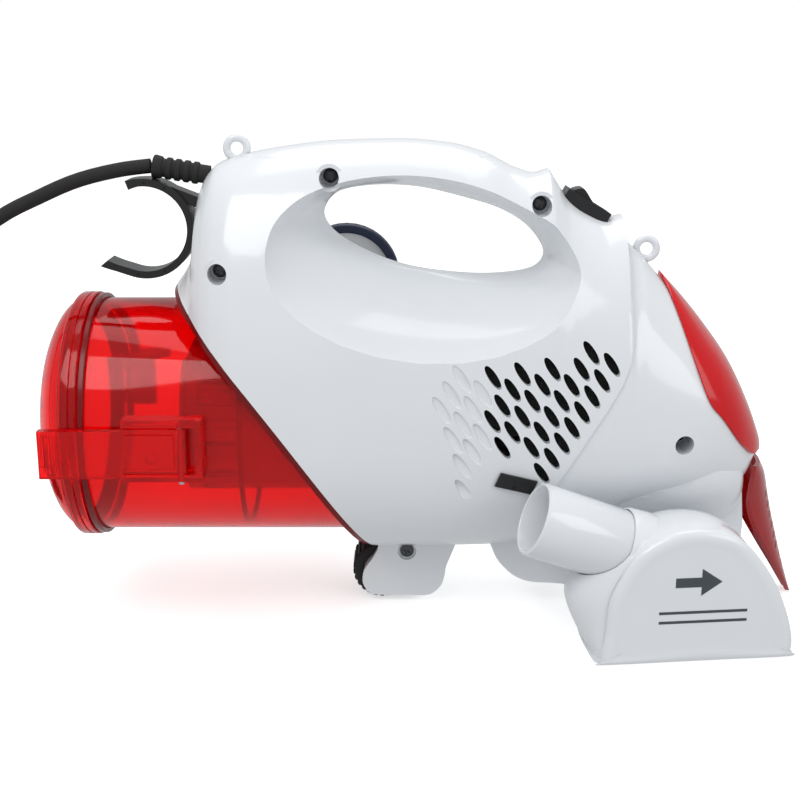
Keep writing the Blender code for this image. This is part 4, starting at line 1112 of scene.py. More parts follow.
@dataclass
class Fittings:
    """Eyelets, rocker switch, hose clip, side clip, inlet and screws.

    Attributes:
        shell: Body shell, for its skin and its places.
        clip: Clip centre (x, z), inner and outer radius.
    """

    shell: BodyShell
    clip: tuple[float, float, float, float] = (-134.0, 187.8, 20.3, 23.8)

    def eyelet(self, name: str, x: float, z: float) -> None:
        """A round strap eye with a soft rim."""
        bm = bmesh.new()
        profile = [(1.7 * math.sin(a), 4.85 + 1.83 * math.cos(a)) for a in
                   (2 * math.pi * k / 20 for k in range(20))]
        lathe(bm, profile, (x, 0, z), (0, 1, 0), 56)
        new_piece(f"{name}_ring", bm, WHITE, "machine", (name,))

    def switch(self) -> None:
        """Rocker and its frame."""
        x, z, tilt = self.shell.switch
        place = Matrix.Translation((x, 0, z)) @ Matrix.Rotation(tilt, 4, "Y")
        bm = bmesh.new()
        block(bm, (-12, -8, -9), (12, 8, 1.4))
        soften(bm, 0.8, 3)
        bm.transform(place)
        rim = new_piece("switch_bezel", bm, BLACK)

        def hole(bm: bmesh.types.BMesh) -> None:
            """Rocker's opening."""
            block(bm, (-9.9, -6.2, -20), (9.9, 6.2, 20))
            bm.transform(place)

        shape(rim, hole)
        settle(rim, BLACK, "machine", ("switch_frame",))
        bm = bmesh.new()
        top = spline([(-9.2, 2.0, 0), (-6.6, 4.4, 0), (-4.4, 4.5, 0), (1.0, 1.9, 0), (5.0, 0.6, 0), (9.4, -0.9, 0)],
                     22, closed=False)
        prism(bm, [(p.x, p.y) for p in top] + [(8.8, -6), (-8.8, -6)], -5.8, 5.8)
        soften(bm, 0.7, 3, 40)
        bm.transform(place)
        new_piece("rocker_key", bm, BLACK, "rocker", ("switch_rocker",))

    def hose_clip(self) -> None:
        """Open C-clip with rolled lips on its spine."""
        cx, cz, inner, outer = self.clip
        front, back = [], []
        for k in range(101):
            a = math.radians(110 - 251 * k / 100)
            flare = 4.0 * max(0.0, (k - 87) / 13) ** 2
            lip = 0.5 * (max(0.0, 1 - k / 6) + max(0.0, 1 - (100 - k) / 6))
            front.append((cx + (outer + flare + lip) * math.cos(a), cz + (outer + flare + lip) * math.sin(a)))
            back.append((cx + (inner + flare - lip) * math.cos(a), cz + (inner + flare - lip) * math.sin(a)))
        bm = bmesh.new()
        prism(bm, front + back[::-1], -8, 8)
        soften(bm, 0.9, 3, 50)
        clip = new_piece("hose_clip_jaw", bm, BLACK)

        def rib(bm: bmesh.types.BMesh) -> None:
            """Stay between the jaw and the body."""
            prism(bm, ((-125.0, 209.4), (-107.0, 202.4), (-107.0, 197.0), (-113.6, 199.6), (-126.4, 207.0)), -6, 6)
            soften(bm, 0.6, 2, 40)

        shape(clip, rib, "UNION")
        shape(clip, lambda bm: loft(bm, [self.shell.ring(-120.9 + k, 0.1, 90) for k in range(0, 30)]))
        for turn in (88, 62, -66, -100):
            a = math.radians(turn)
            shape(clip, lambda bm, a=a: rod(bm, (cx + 22 * math.cos(a), 0, cz + 22 * math.sin(a)),
                                            (0, -1, 0), 0.7, 7.4, 9.0, segments=16))
        settle(clip, BLACK, "machine", ("hose_clip",))

    def side_clip(self) -> None:
        """Bar on the side that holds the tool's tube."""
        bm = bmesh.new()
        prism(bm, ((31.8, 75.2), (34.6, 81.8), (52.0, 76.9), (49.2, 70.2)), -60, -42)
        bar = new_piece("side_clip_bar", bm, BLACK)
        shape(bar, lambda bm: loft(bm, [self.shell.ring(25 + 2 * k, 2.4, 90) for k in range(20)]), "INTERSECT")
        shape(bar, lambda bm: loft(bm, [self.shell.ring(25 + 2 * k, 0.9, 90) for k in range(20)]))
        shape(bar, lambda bm: rod(bm, (41.2, 0, 75.0), (0, -1, 0), 1.3, 55.6, 62, segments=20))
        settle(bar, BLACK, "machine", ("side_clip",))

    def inlet(self) -> None:
        """Hose inlet neck and its ribbed collar on the far side."""
        x, z, radius = self.shell.inlet
        bm = bmesh.new()
        lathe(bm, ((16, radius - 2.5), (16, radius), (75.4, radius), (76, radius - 0.5), (76, radius - 2.5)),
              (x, 0, z), (0, 1, 0), 96)
        new_piece("inlet_pipe", bm, GREY, "machine", ("inlet_neck",))
        bm = bmesh.new()
        lathe(bm, ((76.4, 20), (76.4, 27.8), (76.9, 28.4), (78, 28.8), (82, 28.8), (83.3, 28.6), (84, 28.0),
                   (84, 25.4), (84.6, 24.6), (91.2, 24.4), (91.7, 23.9), (91.7, 20.4), (91.2, 20)),
              (x, 0, z), (0, 1, 0), 96)
        collar = new_piece("inlet_ring", bm, NAVY)
        grip = REPEAT.run("grip_notches", lambda bm: rod(bm, (28.9, 0, 0), (0, 1, 0), 0.7, 78.6, 81.6, segments=10),
                          NAVY, 36, (0, 0, 0), (0, math.pi / 18, 0), Matrix.Translation((x, 0, z)))
        shape(collar, grip)
        settle(collar, NAVY, "machine", ("inlet_collar",))

    def screws(self) -> None:
        """Cross-head screws deep in their wells."""
        for k, (x, z, depth) in enumerate(self.shell.screws):
            screw(f"well_screw_{k + 1}", (x, 11.6 - depth, z), "machine", (f"shell_screw_{k + 1}",))
        screw("bracket_fixing", (-8.5, -15.2, 27.2), "machine", ("bracket_screw",), 1.6)

    def build(self) -> None:
        """Build and place every fitting."""
        for name, (x, z) in zip(("eyelet_rear", "eyelet_front"), self.shell.eyelets):
            self.eyelet(name, x, z)
        self.switch()
        self.hose_clip()
        self.side_clip()
        self.inlet()
        self.screws()


def screw(name: str, at: Point, body: str, nodes: Sequence[str], high: float = 2.4) -> None:
    """A pan-head screw with a cross recess that faces -Y.

    Args:
        name: Piece name.
        at: Centre of the head's underside.
        body: CAD body.
        nodes: CAD nodes that it stands for.
        high: Head height.
    """
    bm = bmesh.new()
    lathe(bm, ((0, 0), (0, 3.4), (high * 0.45, 3.35), (high * 0.75, 2.8), (high * 0.93, 1.8), (high, 0)),
          at, (0, -1, 0), 32)
    head = new_piece(name, bm, DARK_STEEL)
    for turn in (0.0, 90.0):

        def arm(bm: bmesh.types.BMesh, turn: float = turn) -> None:
            """One arm of the recess."""
            block(bm, (-1.9, -high - 1, -0.35), (1.9, -high * 0.45, 0.35))
            bm.transform(Matrix.Translation(Vector(at)) @ Matrix.Rotation(math.radians(turn + 20), 4, "Y"))

        shape(head, arm)
    settle(head, DARK_STEEL, body, nodes)


# ---- running gear --------------------------------------------------------------------


@dataclass
class RearWheel:
    """Wheel in its side bracket.

    Attributes:
        shell: Body shell, whose skin the bracket meets.
        centre: Axle position (x, z).
        radius: Tyre radius.
    """

    shell: BodyShell
    centre: tuple[float, float] = (-21.0, 14.8)
    radius: float = 14.8

    def bracket(self) -> None:
        """White fork with its bulged cheeks."""
        outline = spline([(-23.2, 28.1, 0), (-26.2, 22.8, 0), (-30, 17.1, 0), (-30.9, 11.3, 0), (-29.5, 7.5, 0),
                          (-26.7, 4.5, 0), (-20.3, 3.7, 0), (-9, 3.7, 0), (2.1, 3.7, 0), (7.7, 7.5, 0),
                          (10, 12.2, 0), (11.2, 19, 0), (13.2, 24.2, 0), (15.1, 29.1, 0)], 60, closed=False)
        bm = bmesh.new()
        prism(bm, [(-22, 36.2)] + [(p.x, p.y) for p in outline] + [(17.5, 36.2)], -17, 17)
        soften(bm, 1.6, 4, 50)
        fork = new_piece("wheel_fork", bm, WHITE)
        shape(fork, lambda bm: block(bm, (-50, -13, -5), (-3.5, 13, 32)))
        shape(fork, lambda bm: loft(bm, [self.shell.ring(-60 + 3 * k, 0.1, 90) for k in range(36)]))
        shape(fork, lambda bm: rod(bm, (-8.5, 0, 27.2), (0, -1, 0), 4.6, 15, 30))
        settle(fork, WHITE, "machine", ("wheel_bracket",))

    def build(self) -> None:
        """Build and place the wheel and its bracket."""
        self.bracket()
        x, z = self.centre
        radius = self.radius
        bm = bmesh.new()
        lathe(bm, ((-11.6, 9.8), (-11.6, 12.9), (-11.2, 13.6), (-10.2, radius - 0.7), (10.2, radius - 0.7),
                   (11.2, 13.6), (11.6, 12.9), (11.6, 9.8)), (x, 0, z), (0, 1, 0), 80)
        tyre = new_piece("tyre_ring", bm, TYRE)

        def lug(bm: bmesh.types.BMesh) -> None:
            """One tread bar."""
            block(bm, (-0.9, -9.6, radius - 1.6), (0.9, 9.6, radius - 0.02))
            soften(bm, 0.3, 2)

        lugs = REPEAT.run("tread", lug, TYRE, 26, (0, 0, 0), (0, 2 * math.pi / 26, 0), Matrix.Translation((x, 0, z)))
        shape(tyre, lugs, "UNION")
        settle(tyre, TYRE, "wheel", ("wheel_tyre",))
        bm = bmesh.new()
        lathe(bm, ((-11, 2.4), (-11, 9.0), (-10.6, 9.4), (10.6, 9.4), (11, 9.0), (11, 2.4)), (x, 0, z), (0, 1, 0), 64)
        hub = new_piece("hub_core", bm, GREY)
        pockets = REPEAT.run("hub_pockets", lambda bm: rod(bm, (6.0, 0, 0), (0, 1, 0), 1.5, -14, 14, segments=20),
                             GREY, 6, (0, 0, 0), (0, math.pi / 3, 0), Matrix.Translation((x, 0, z)))
        shape(hub, pockets)
        settle(hub, GREY, "wheel", ("wheel_hub",))


# ---- dust cup ------------------------------------------------------------------------


@dataclass
class DustCup:
    """Clear red cup, its lid, latch, hinge, seal and filter.

    Attributes:
        shell: Body shell, whose section the joint ring follows.
        height: Height of the cup's axis.
        radius: Cup radius.
        lid_radius: Radius of the lid's rim.
        back: Where the cup ends.
        lid_end: Rearmost point of the lid.
        hinge_at: Hinge pin as (x, y).
        latch_at: Latch pin as (x, y).
    """

    shell: BodyShell
    height: float = 95.0
    radius: float = 57.5
    lid_radius: float = 60.5
    back: float = -160.0
    lid_end: float = -186.8
    hinge_at: tuple[float, float] = (-160.5, 64.4)
    latch_at: tuple[float, float] = (-112.0, -63.2)

    def slanted(self, bm: bmesh.types.BMesh, rows: Sequence[tuple[float, bool, float]], segments: int = 128) -> None:
        """Skin rings round the cup's axis, some of them cut on the slant.

        Args:
            bm: Target mesh.
            rows: (x or slant offset, whether slanted, radius) of each ring.
            segments: Points round.
        """
        rings = []
        for at, slanted, radius in rows:
            ring = []
            for k in range(segments):
                turn = 2 * math.pi * k / segments
                y, z = radius * math.cos(turn), self.height + radius * math.sin(turn)
                ring.append((at + BodyShell.slant_x(z) if slanted else at, y, z))
            rings.append(ring)
        loft(bm, rings, caps=False, closed=True)

    def cup(self) -> None:
        """The barrel and its slanted flange."""
        r = self.radius
        bm = bmesh.new()
        self.slanted(bm, ((self.back, False, r - 2.3), (self.back, False, r - 0.3), (self.back + 0.4, False, r),
                          (-4.4, True, r), (-4.0, True, r - 0.3), (-4.0, True, r - 2.3)))
        new_piece("cup_barrel", bm, RED_CLEAR, "cup", ("dust_cup",))
        bm = bmesh.new()
        lathe(bm, ((-87.2, r - 4.2), (-87.2, r - 2.4), (-85.0, r - 2.4), (-85.0, r - 4.2)), (0, 0, self.height),
              (1, 0, 0), 128)
        step = new_piece("cup_inner_step", bm, DARK_RED)
        edge = BodyShell.slant_edge(-4.6)
        shape(step, lambda bm: prism(bm, edge + [(200.0, -40.0), (200.0, 270.0)], -90, 90))
        settle(step, DARK_RED, "cup")
        bm = bmesh.new()
        loft(bm, [self.shell.ring(-121 + 2 * k, -0.3, 160) for k in range(75)])
        flange = new_piece("cup_joint_ring", bm, DARK_RED)
        shape(flange, self.slab, "INTERSECT")
        shape(flange, lambda bm: rod(bm, (0, 0, self.height), (1, 0, 0), 50.0, -300, 100, segments=128))
        settle(flange, DARK_RED, "cup", ("cup_flange",))

    @staticmethod
    def slab(bm: bmesh.types.BMesh) -> None:
        """Add the slanted slab that the joint ring is cut from."""
        prism(bm, BodyShell.slant_edge(-3.6) + BodyShell.slant_edge(-0.5)[::-1], -90, 90)

    def filter(self) -> None:
        """Caged filter that stands in the cup."""
        bm = bmesh.new()
        self.slanted(bm, ((-114.0, False, 35.4), (-114.0, False, 38.0), (-6.6, True, 38.0), (-6.6, True, 35.4)), 96)
        cage = new_piece("filter_cage", bm, RED_FRAME)

        def window(bm: bmesh.types.BMesh) -> None:
            """One window of the cage."""
            block(bm, (-108, 20, -6.5), (-88, 60, 6.5))
            soften(bm, 2.0, 3)

        windows = REPEAT.run("cage_windows", window, RED_FRAME, 12, (0, 0, 0), (math.pi / 6, 0, 0),
                             Matrix.Translation((0, 0, self.height)))
        shape(cage, windows)
        settle(cage, RED_FRAME, "cup", ("filter_frame",))
        bm = bmesh.new()
        rings = []
        for at, slanted, radius, wave in ((-112.0, False, 24.0, 0.0), (-112.0, False, 33.6, 1.1),
                                          (-7.5, True, 33.6, 1.1), (-7.5, True, 24.0, 0.0)):
            ring = []
            for k in range(288):
                turn = 2 * math.pi * k / 288
                rad = radius + wave * math.cos(48 * turn)
                y, z = rad * math.cos(turn), self.height + rad * math.sin(turn)
                ring.append((at + BodyShell.slant_x(z) if slanted else at, y, z))
            rings.append(ring)
        loft(bm, rings, caps=False, closed=True)
        new_piece("pleated_filter", bm, FELT, "cup", ("filter_core",), 60)
        bm = bmesh.new()
        lathe(bm, ((-117.5, 0), (-117.5, 30), (-116.6, 36.5), (-115.6, 38), (-114.4, 38), (-114.4, 0)),
              (0, 0, self.height), (1, 0, 0), 96)
        new_piece("filter_end", bm, RED_FRAME, "cup", ("filter_cap",))

    def lid(self) -> None:
        """Domed lid with its rim and hinge ear."""
        r, end = self.lid_radius, self.lid_end
        dome = spline([(-169.4, 57.4, 0), (-172.6, 55.4, 0), (-176.6, 50.6, 0), (-181.0, 41.6, 0), (-184.2, 30.0, 0),
                       (-186.2, 16.5, 0), (end, 0.0, 0)], 30, closed=False)
        under = spline([(end + 2.4, 0.0, 0), (-183.9, 16.0, 0), (-181.9, 29.0, 0), (-178.8, 40.0, 0),
                        (-174.8, 48.4, 0), (-171.0, 53.2, 0), (-167.0, 54.8, 0)], 24, closed=False)
        outer = [(-160.4, r - 0.4), (-160.8, r), (-162.6, r), (-163.0, r - 0.7), (-163.6, r - 0.7), (-164.0, r),
                 (-167.6, r), (-168.6, r - 0.5), (-169.2, r - 1.4)]
        profile = outer + [(p.x, max(0.0, p.y)) for p in dome] + [(p.x, max(0.0, p.y)) for p in under]
        bm = bmesh.new()
        lathe(bm, profile + [(-160.4, 54.8)], (0, 0, self.height), (1, 0, 0), 128)
        lid = new_piece("lid_dome", bm, RED_CLEAR)
        x, y = self.hinge_at

        def ear(bm: bmesh.types.BMesh) -> None:
            """Hinge ear."""
            block(bm, (-166.5, 57.5, 91), (-160.9, y, 103))
            soften(bm, 0.6, 2)

        shape(lid, ear, "UNION")
        shape(lid, lambda bm: rod(bm, (x, y, 0), (0, 0, 1), 3.4, 91, 103, 0.3), "UNION")
        shape(lid, lambda bm: rod(bm, (x, y, 0), (0, 0, 1), 1.7, 80, 115))
        settle(lid, RED_CLEAR, "lid", ("cup_lid",))
        bm = bmesh.new()
        lathe(bm, ((-159.8, 57.9), (-159.8, 59.4), (-159.3, 59.9), (-157.3, 59.9), (-156.8, 59.4), (-156.8, 57.9)),
              (0, 0, self.height), (1, 0, 0), 128)
        new_piece("rim_gasket", bm, DARK_RED, "cup", ("lid_gasket",))
        bm = bmesh.new()
        lathe(bm, ((-168.2, 51.6), (-168.2, 54.2), (-167.8, 54.5), (-161.2, 54.5), (-160.8, 54.2), (-160.8, 51.6)),
              (0, 0, self.height), (1, 0, 0), 128)
        new_piece("lid_lip", bm, DARK_RED, "lid")

    def hinge(self) -> None:
        """Knuckles on the far side of the cup."""
        x, y = self.hinge_at
        bm = bmesh.new()
        block(bm, (-156.0, 48, 84), (-145, 62.5, 110))
        soften(bm, 1.0, 3)
        leaf = new_piece("hinge_leaf", bm, DARK_RED)
        for low, high in ((84, 90.6), (103.4, 110)):
            shape(leaf, lambda bm, low=low, high=high: block(bm, (-161.0, 61.2, low), (-150, y + 3.2, high)), "UNION")
            shape(leaf, lambda bm, low=low, high=high: rod(bm, (x, y, 0), (0, 0, 1), 3.4, low, high, 0.3), "UNION")
        axis = (1, 0, 0)
        shape(leaf, lambda bm: rod(bm, (0, 0, self.height), axis, self.radius + 0.3, -200, -100, segments=128))
        shape(leaf, lambda bm: rod(bm, (0, 0, self.height), axis, self.lid_radius + 0.3, -200, -160, segments=128))
        shape(leaf, lambda bm: rod(bm, (x, y, 0), (0, 0, 1), 1.7, 80, 115))
        settle(leaf, DARK_RED, "cup", ("hinge_knuckles",))

    def latch(self) -> None:
        """Latch frame on the cup, and the lever that hooks over the lid's rim."""
        pin_x, pin_y = self.latch_at
        bm = bmesh.new()
        block(bm, (-138.4, -65.5, 80.0), (-102.0, -50, 109.0))
        soften(bm, 1.2, 3)
        seat = new_piece("latch_seat", bm, RED_CLEAR)
        shape(seat, lambda bm: block(bm, (-150, -80, 83.4), (-105.4, -58.0, 105.6)))
        shape(seat, lambda bm: rod(bm, (0, 0, self.height), (1, 0, 0), self.radius + 0.3, -200, -60, segments=128))
        shape(seat, lambda bm: rod(bm, (pin_x, pin_y, 0), (0, 0, 1), 1.5, 70, 107.4))
        settle(seat, RED_CLEAR, "cup", ("latch_frame",))
        bm = bmesh.new()
        prism(bm, ((-176.5, 81.5), (-176.5, 104.0), (-139.5, 104.0), (-138.5, 105.0), (-109.4, 105.0),
                   (-109.4, 84.0), (-138.5, 84.0), (-139.5, 81.5)), -65.9, -61.4)
        soften(bm, 1.0, 3)
        lever = new_piece("latch_lever", bm, RED_CLEAR)
        shape(lever, lambda bm: rod(bm, (pin_x, pin_y, 0), (0, 0, 1), 1.7, 70, 120))

        def hook(bm: bmesh.types.BMesh) -> None:
            """Catch behind the lid's rim."""
            block(bm, (-176.3, -62, 86), (-171.4, -58.4, 100))
            soften(bm, 0.5, 2)

        shape(lever, hook, "UNION")
        shape(lever, lambda bm: rod(bm, (-125.5, -60, 90.3), (0, -1, 0), 2.6, 0, 6.9, 0.5), "UNION")

        def relief(bm: bmesh.types.BMesh) -> None:
            """Raised inner field of the lever."""
            block(bm, (-136.5, -67.0, 86.5), (-114.5, -64.0, 102.5))
            soften(bm, 0.7, 3)

        shape(lever, relief, "UNION")
        ribs = REPEAT.run("lever_ribs", lambda bm: rod(bm, (-174.0, -65.9, 84), (0, 0, 1), 0.6, 0, 18, 0.2, 12),
                          RED_CLEAR, 6, (2.6, 0, 0), (0, 0, 0))
        shape(lever, ribs, "UNION")
        settle(lever, RED_CLEAR, "latch", ("lid_latch",))

    def build(self) -> None:
        """Build and place every piece of the cup."""
        self.cup()
        self.filter()
        self.lid()
        self.hinge()
        self.latch()


# ---- turbo tool ----------------------------------------------------------------------


@dataclass
class TurboTool:
    """White turbo brush tool that stands beside the machine.

    Attributes:
        end: Outline (x, z) of its end face.
        mouth: Centre of the tube's mouth.
        root: Where the tube meets the housing.
        tube: Outer radius of the tube.
        turn: How far the tool stands turned on the floor.
        corner: Floor corner (x, y) that it is turned about.
    """

    end: tuple[tuple[float, float], ...] = (
        (84.5, 0.0), (79.8, 2.3), (81.3, 15.7), (82.6, 30.8), (87.6, 42.4), (96.0, 54.3), (109.4, 61.9),
        (121.7, 63.7), (134.2, 61.9), (143.4, 57.1), (151.0, 49.1), (159.1, 37.1), (165.5, 22.5), (168.8, 10.2),
        (168.5, 3.0), (164.0, 0.0))
    mouth: Vector = field(default_factory=lambda: Vector((50.4, -67.8, 65.2)))
    root: Vector = field(default_factory=lambda: Vector((92.0, -65.5, 49.0)))
    tube: float = 17.2
    turn: float = math.radians(6.0)
    corner: tuple[float, float] = (84.5, -89.0)

    def outline(self, shrink: float, top: float = 1.0, back: float = 0.0,
                count: int = 120) -> list[tuple[float, float]]:
        """The end outline, moved in, lowered and bulged to the rear.

        Args:
            shrink: Move in by this much.
            top: Height scale.
            back: Bulge to the rear.
            count: Number of points.

        Returns:
            Outline points (x, z).
        """
        mid = Vector((126, 26, 0))
        found = []
        for p in spline([(x, z, 0) for x, z in self.end], count):
            q = p - (p - mid).normalized() * shrink
            push = back * max(0.0, (mid.x - q.x) / 44) * math.sin(math.pi * min(1.0, max(0.0, q.y / 62)))
            found.append((q.x - push, max(0.4, q.y * top)))
        return found

    def stations(self, keys: Sequence[tuple[float, float, float, float]], count: int) -> list[list[Point]]:
        """Rings along Y read smoothly through key stations of (y, shrink, top, back)."""
        a = spline([(y, s, t) for y, s, t, _ in keys], count, closed=False)
        b = spline([(y, k, 0) for y, _, _, k in keys], count, closed=False)
        return [[(x, p.x, z) for x, z in self.outline(p.y, p.z, q.y)] for p, q in zip(a, b)]

    def housing(self) -> None:
        """Crowned housing with its neck seat and brush mouth."""
        keys = ((-85.4, 1.2, 1.0, 2.0), (-82, 0.4, 1.0, 8.0), (-74, 0.2, 1.01, 14.5), (-62, 0.4, 1.01, 15.5),
                (-52, 1.2, 0.98, 13.0), (-43, 3.0, 0.9, 9.0), (-36, 6.0, 0.8, 4.0))
        bm = bmesh.new()
        loft(bm, self.stations(keys, 30))
        housing = new_piece("tool_shell", bm, WHITE)
        inner = ((-83, 4.0, 1.0, 2.0), (-74, 3.6, 1.01, 12.0), (-62, 3.6, 1.01, 13.0), (-52, 4.2, 0.98, 11.0),
                 (-43, 6.0, 0.9, 7.0), (-39, 8.4, 0.8, 2.0))
        shape(housing, lambda bm: loft(bm, self.stations(inner, 14)))
        shape(housing, lambda bm: block(bm, (104, -81, -8), (148, -41, 12)))
        axis = (self.mouth - self.root).normalized()
        r = self.tube
        shape(housing, lambda bm: lathe(bm, ((-20, 0), (-20, r + 1.5), (-8, r + 2.2), (0.6, r + 1.5), (1.6, r + 1.0),
                                             (1.9, r + 0.4), (1.9, 0)), self.root, axis, 96), "UNION")
        shape(housing, lambda bm: rod(bm, self.root, axis, r + 0.35, -2.0, 70, segments=96))
        shape(housing, lambda bm: rod(bm, self.root, axis, r - 3.2, -26.0, 0, segments=64))
        settle(housing, WHITE, "tool", ("tool_housing",))
        for name, rows, node in (
                ("tool_end_near", ((-85.9, 0.0), (-86.7, 0.1), (-87.4, 0.5), (-88.0, 1.2), (-88.5, 2.2),
                                   (-88.8, 3.4), (-88.9, 4.8), (-88.7, 6.4), (-88.6, 8.0), (-88.6, 12.0)),
                 "tool_cap_near"),
                ("tool_end_far", ((-35.6, 6.0), (-33, 6.4), (-31.4, 7.4), (-30.4, 9.0), (-30.0, 11.0),
                                  (-30.0, 14.0)), "tool_cap_far")):
            top = 1.0 if "near" in name else 0.8
            bm = bmesh.new()
            loft(bm, [[(x, y, z) for x, z in self.outline(s, top)] for y, s in rows])
            new_piece(name, bm, WHITE, "tool", (node,), 24)

    def neck(self) -> None:
        """Swivelling tube with a stepped mouth."""
        axis = (self.mouth - self.root).normalized()
        long = (self.mouth - self.root).length
        r = self.tube
        bm = bmesh.new()
        lathe(bm, ((-1.6, r - 2.8), (-1.6, r - 0.2), (-1.2, r), (long - 1.6, r), (long - 0.7, r - 0.15),
                   (long - 0.2, r - 0.6), (long, r - 1.1), (long - 0.2, r - 1.7), (long - 0.8, r - 2.1),
                   (long - 14, r - 2.5), (long - 14.3, r - 2.9), (0, r - 2.9)), self.root, axis, 112)
        new_piece("tool_swivel_tube", bm, WHITE, "tool_neck", ("tool_tube",))

    def marks(self) -> None:
        """Printed arrow and two bars on the near end face."""
        bm = bmesh.new()
        prism(bm, ((112, 37.2), (124, 37.2), (124, 33.0), (133.5, 39.5), (124, 46.0), (124, 41.8), (112, 41.8)),
              -88.72, -88.5)
        new_piece("print_arrow", bm, PRINT, "tool")
        bars = REPEAT.run("print_bars", lambda bm: block(bm, (105, -88.72, 24.4), (146, -88.5, 25.7)), PRINT, 2,
                          (0, 0, -4.6))
        attach(bars, "tool")

    def build(self) -> None:
        """Build the tool's pieces and turn them to where the tool stands."""
        before = set(bpy.data.objects.keys())
        self.housing()
        self.neck()
        self.marks()
        spin_brush("tool_brush_core", (126.0, 0.0, 21.0), 9.0, 15.4, (-77.0, -45.6), (-72.0, -47.2), "tool_brush",
                   ("tool_roll", "tool_bristles"))
        corner = Vector((*self.corner, 0)) * MM
        turn = (Matrix.Translation(corner + Vector((0, -1.5, 0)) * MM) @ Matrix.Rotation(self.turn, 4, "Z")
                @ Matrix.Translation(-corner))
        for name in set(bpy.data.objects.keys()) - before:
            bpy.data.objects[name].data.transform(turn)


# ---- mains lead ----------------------------------------------------------------------


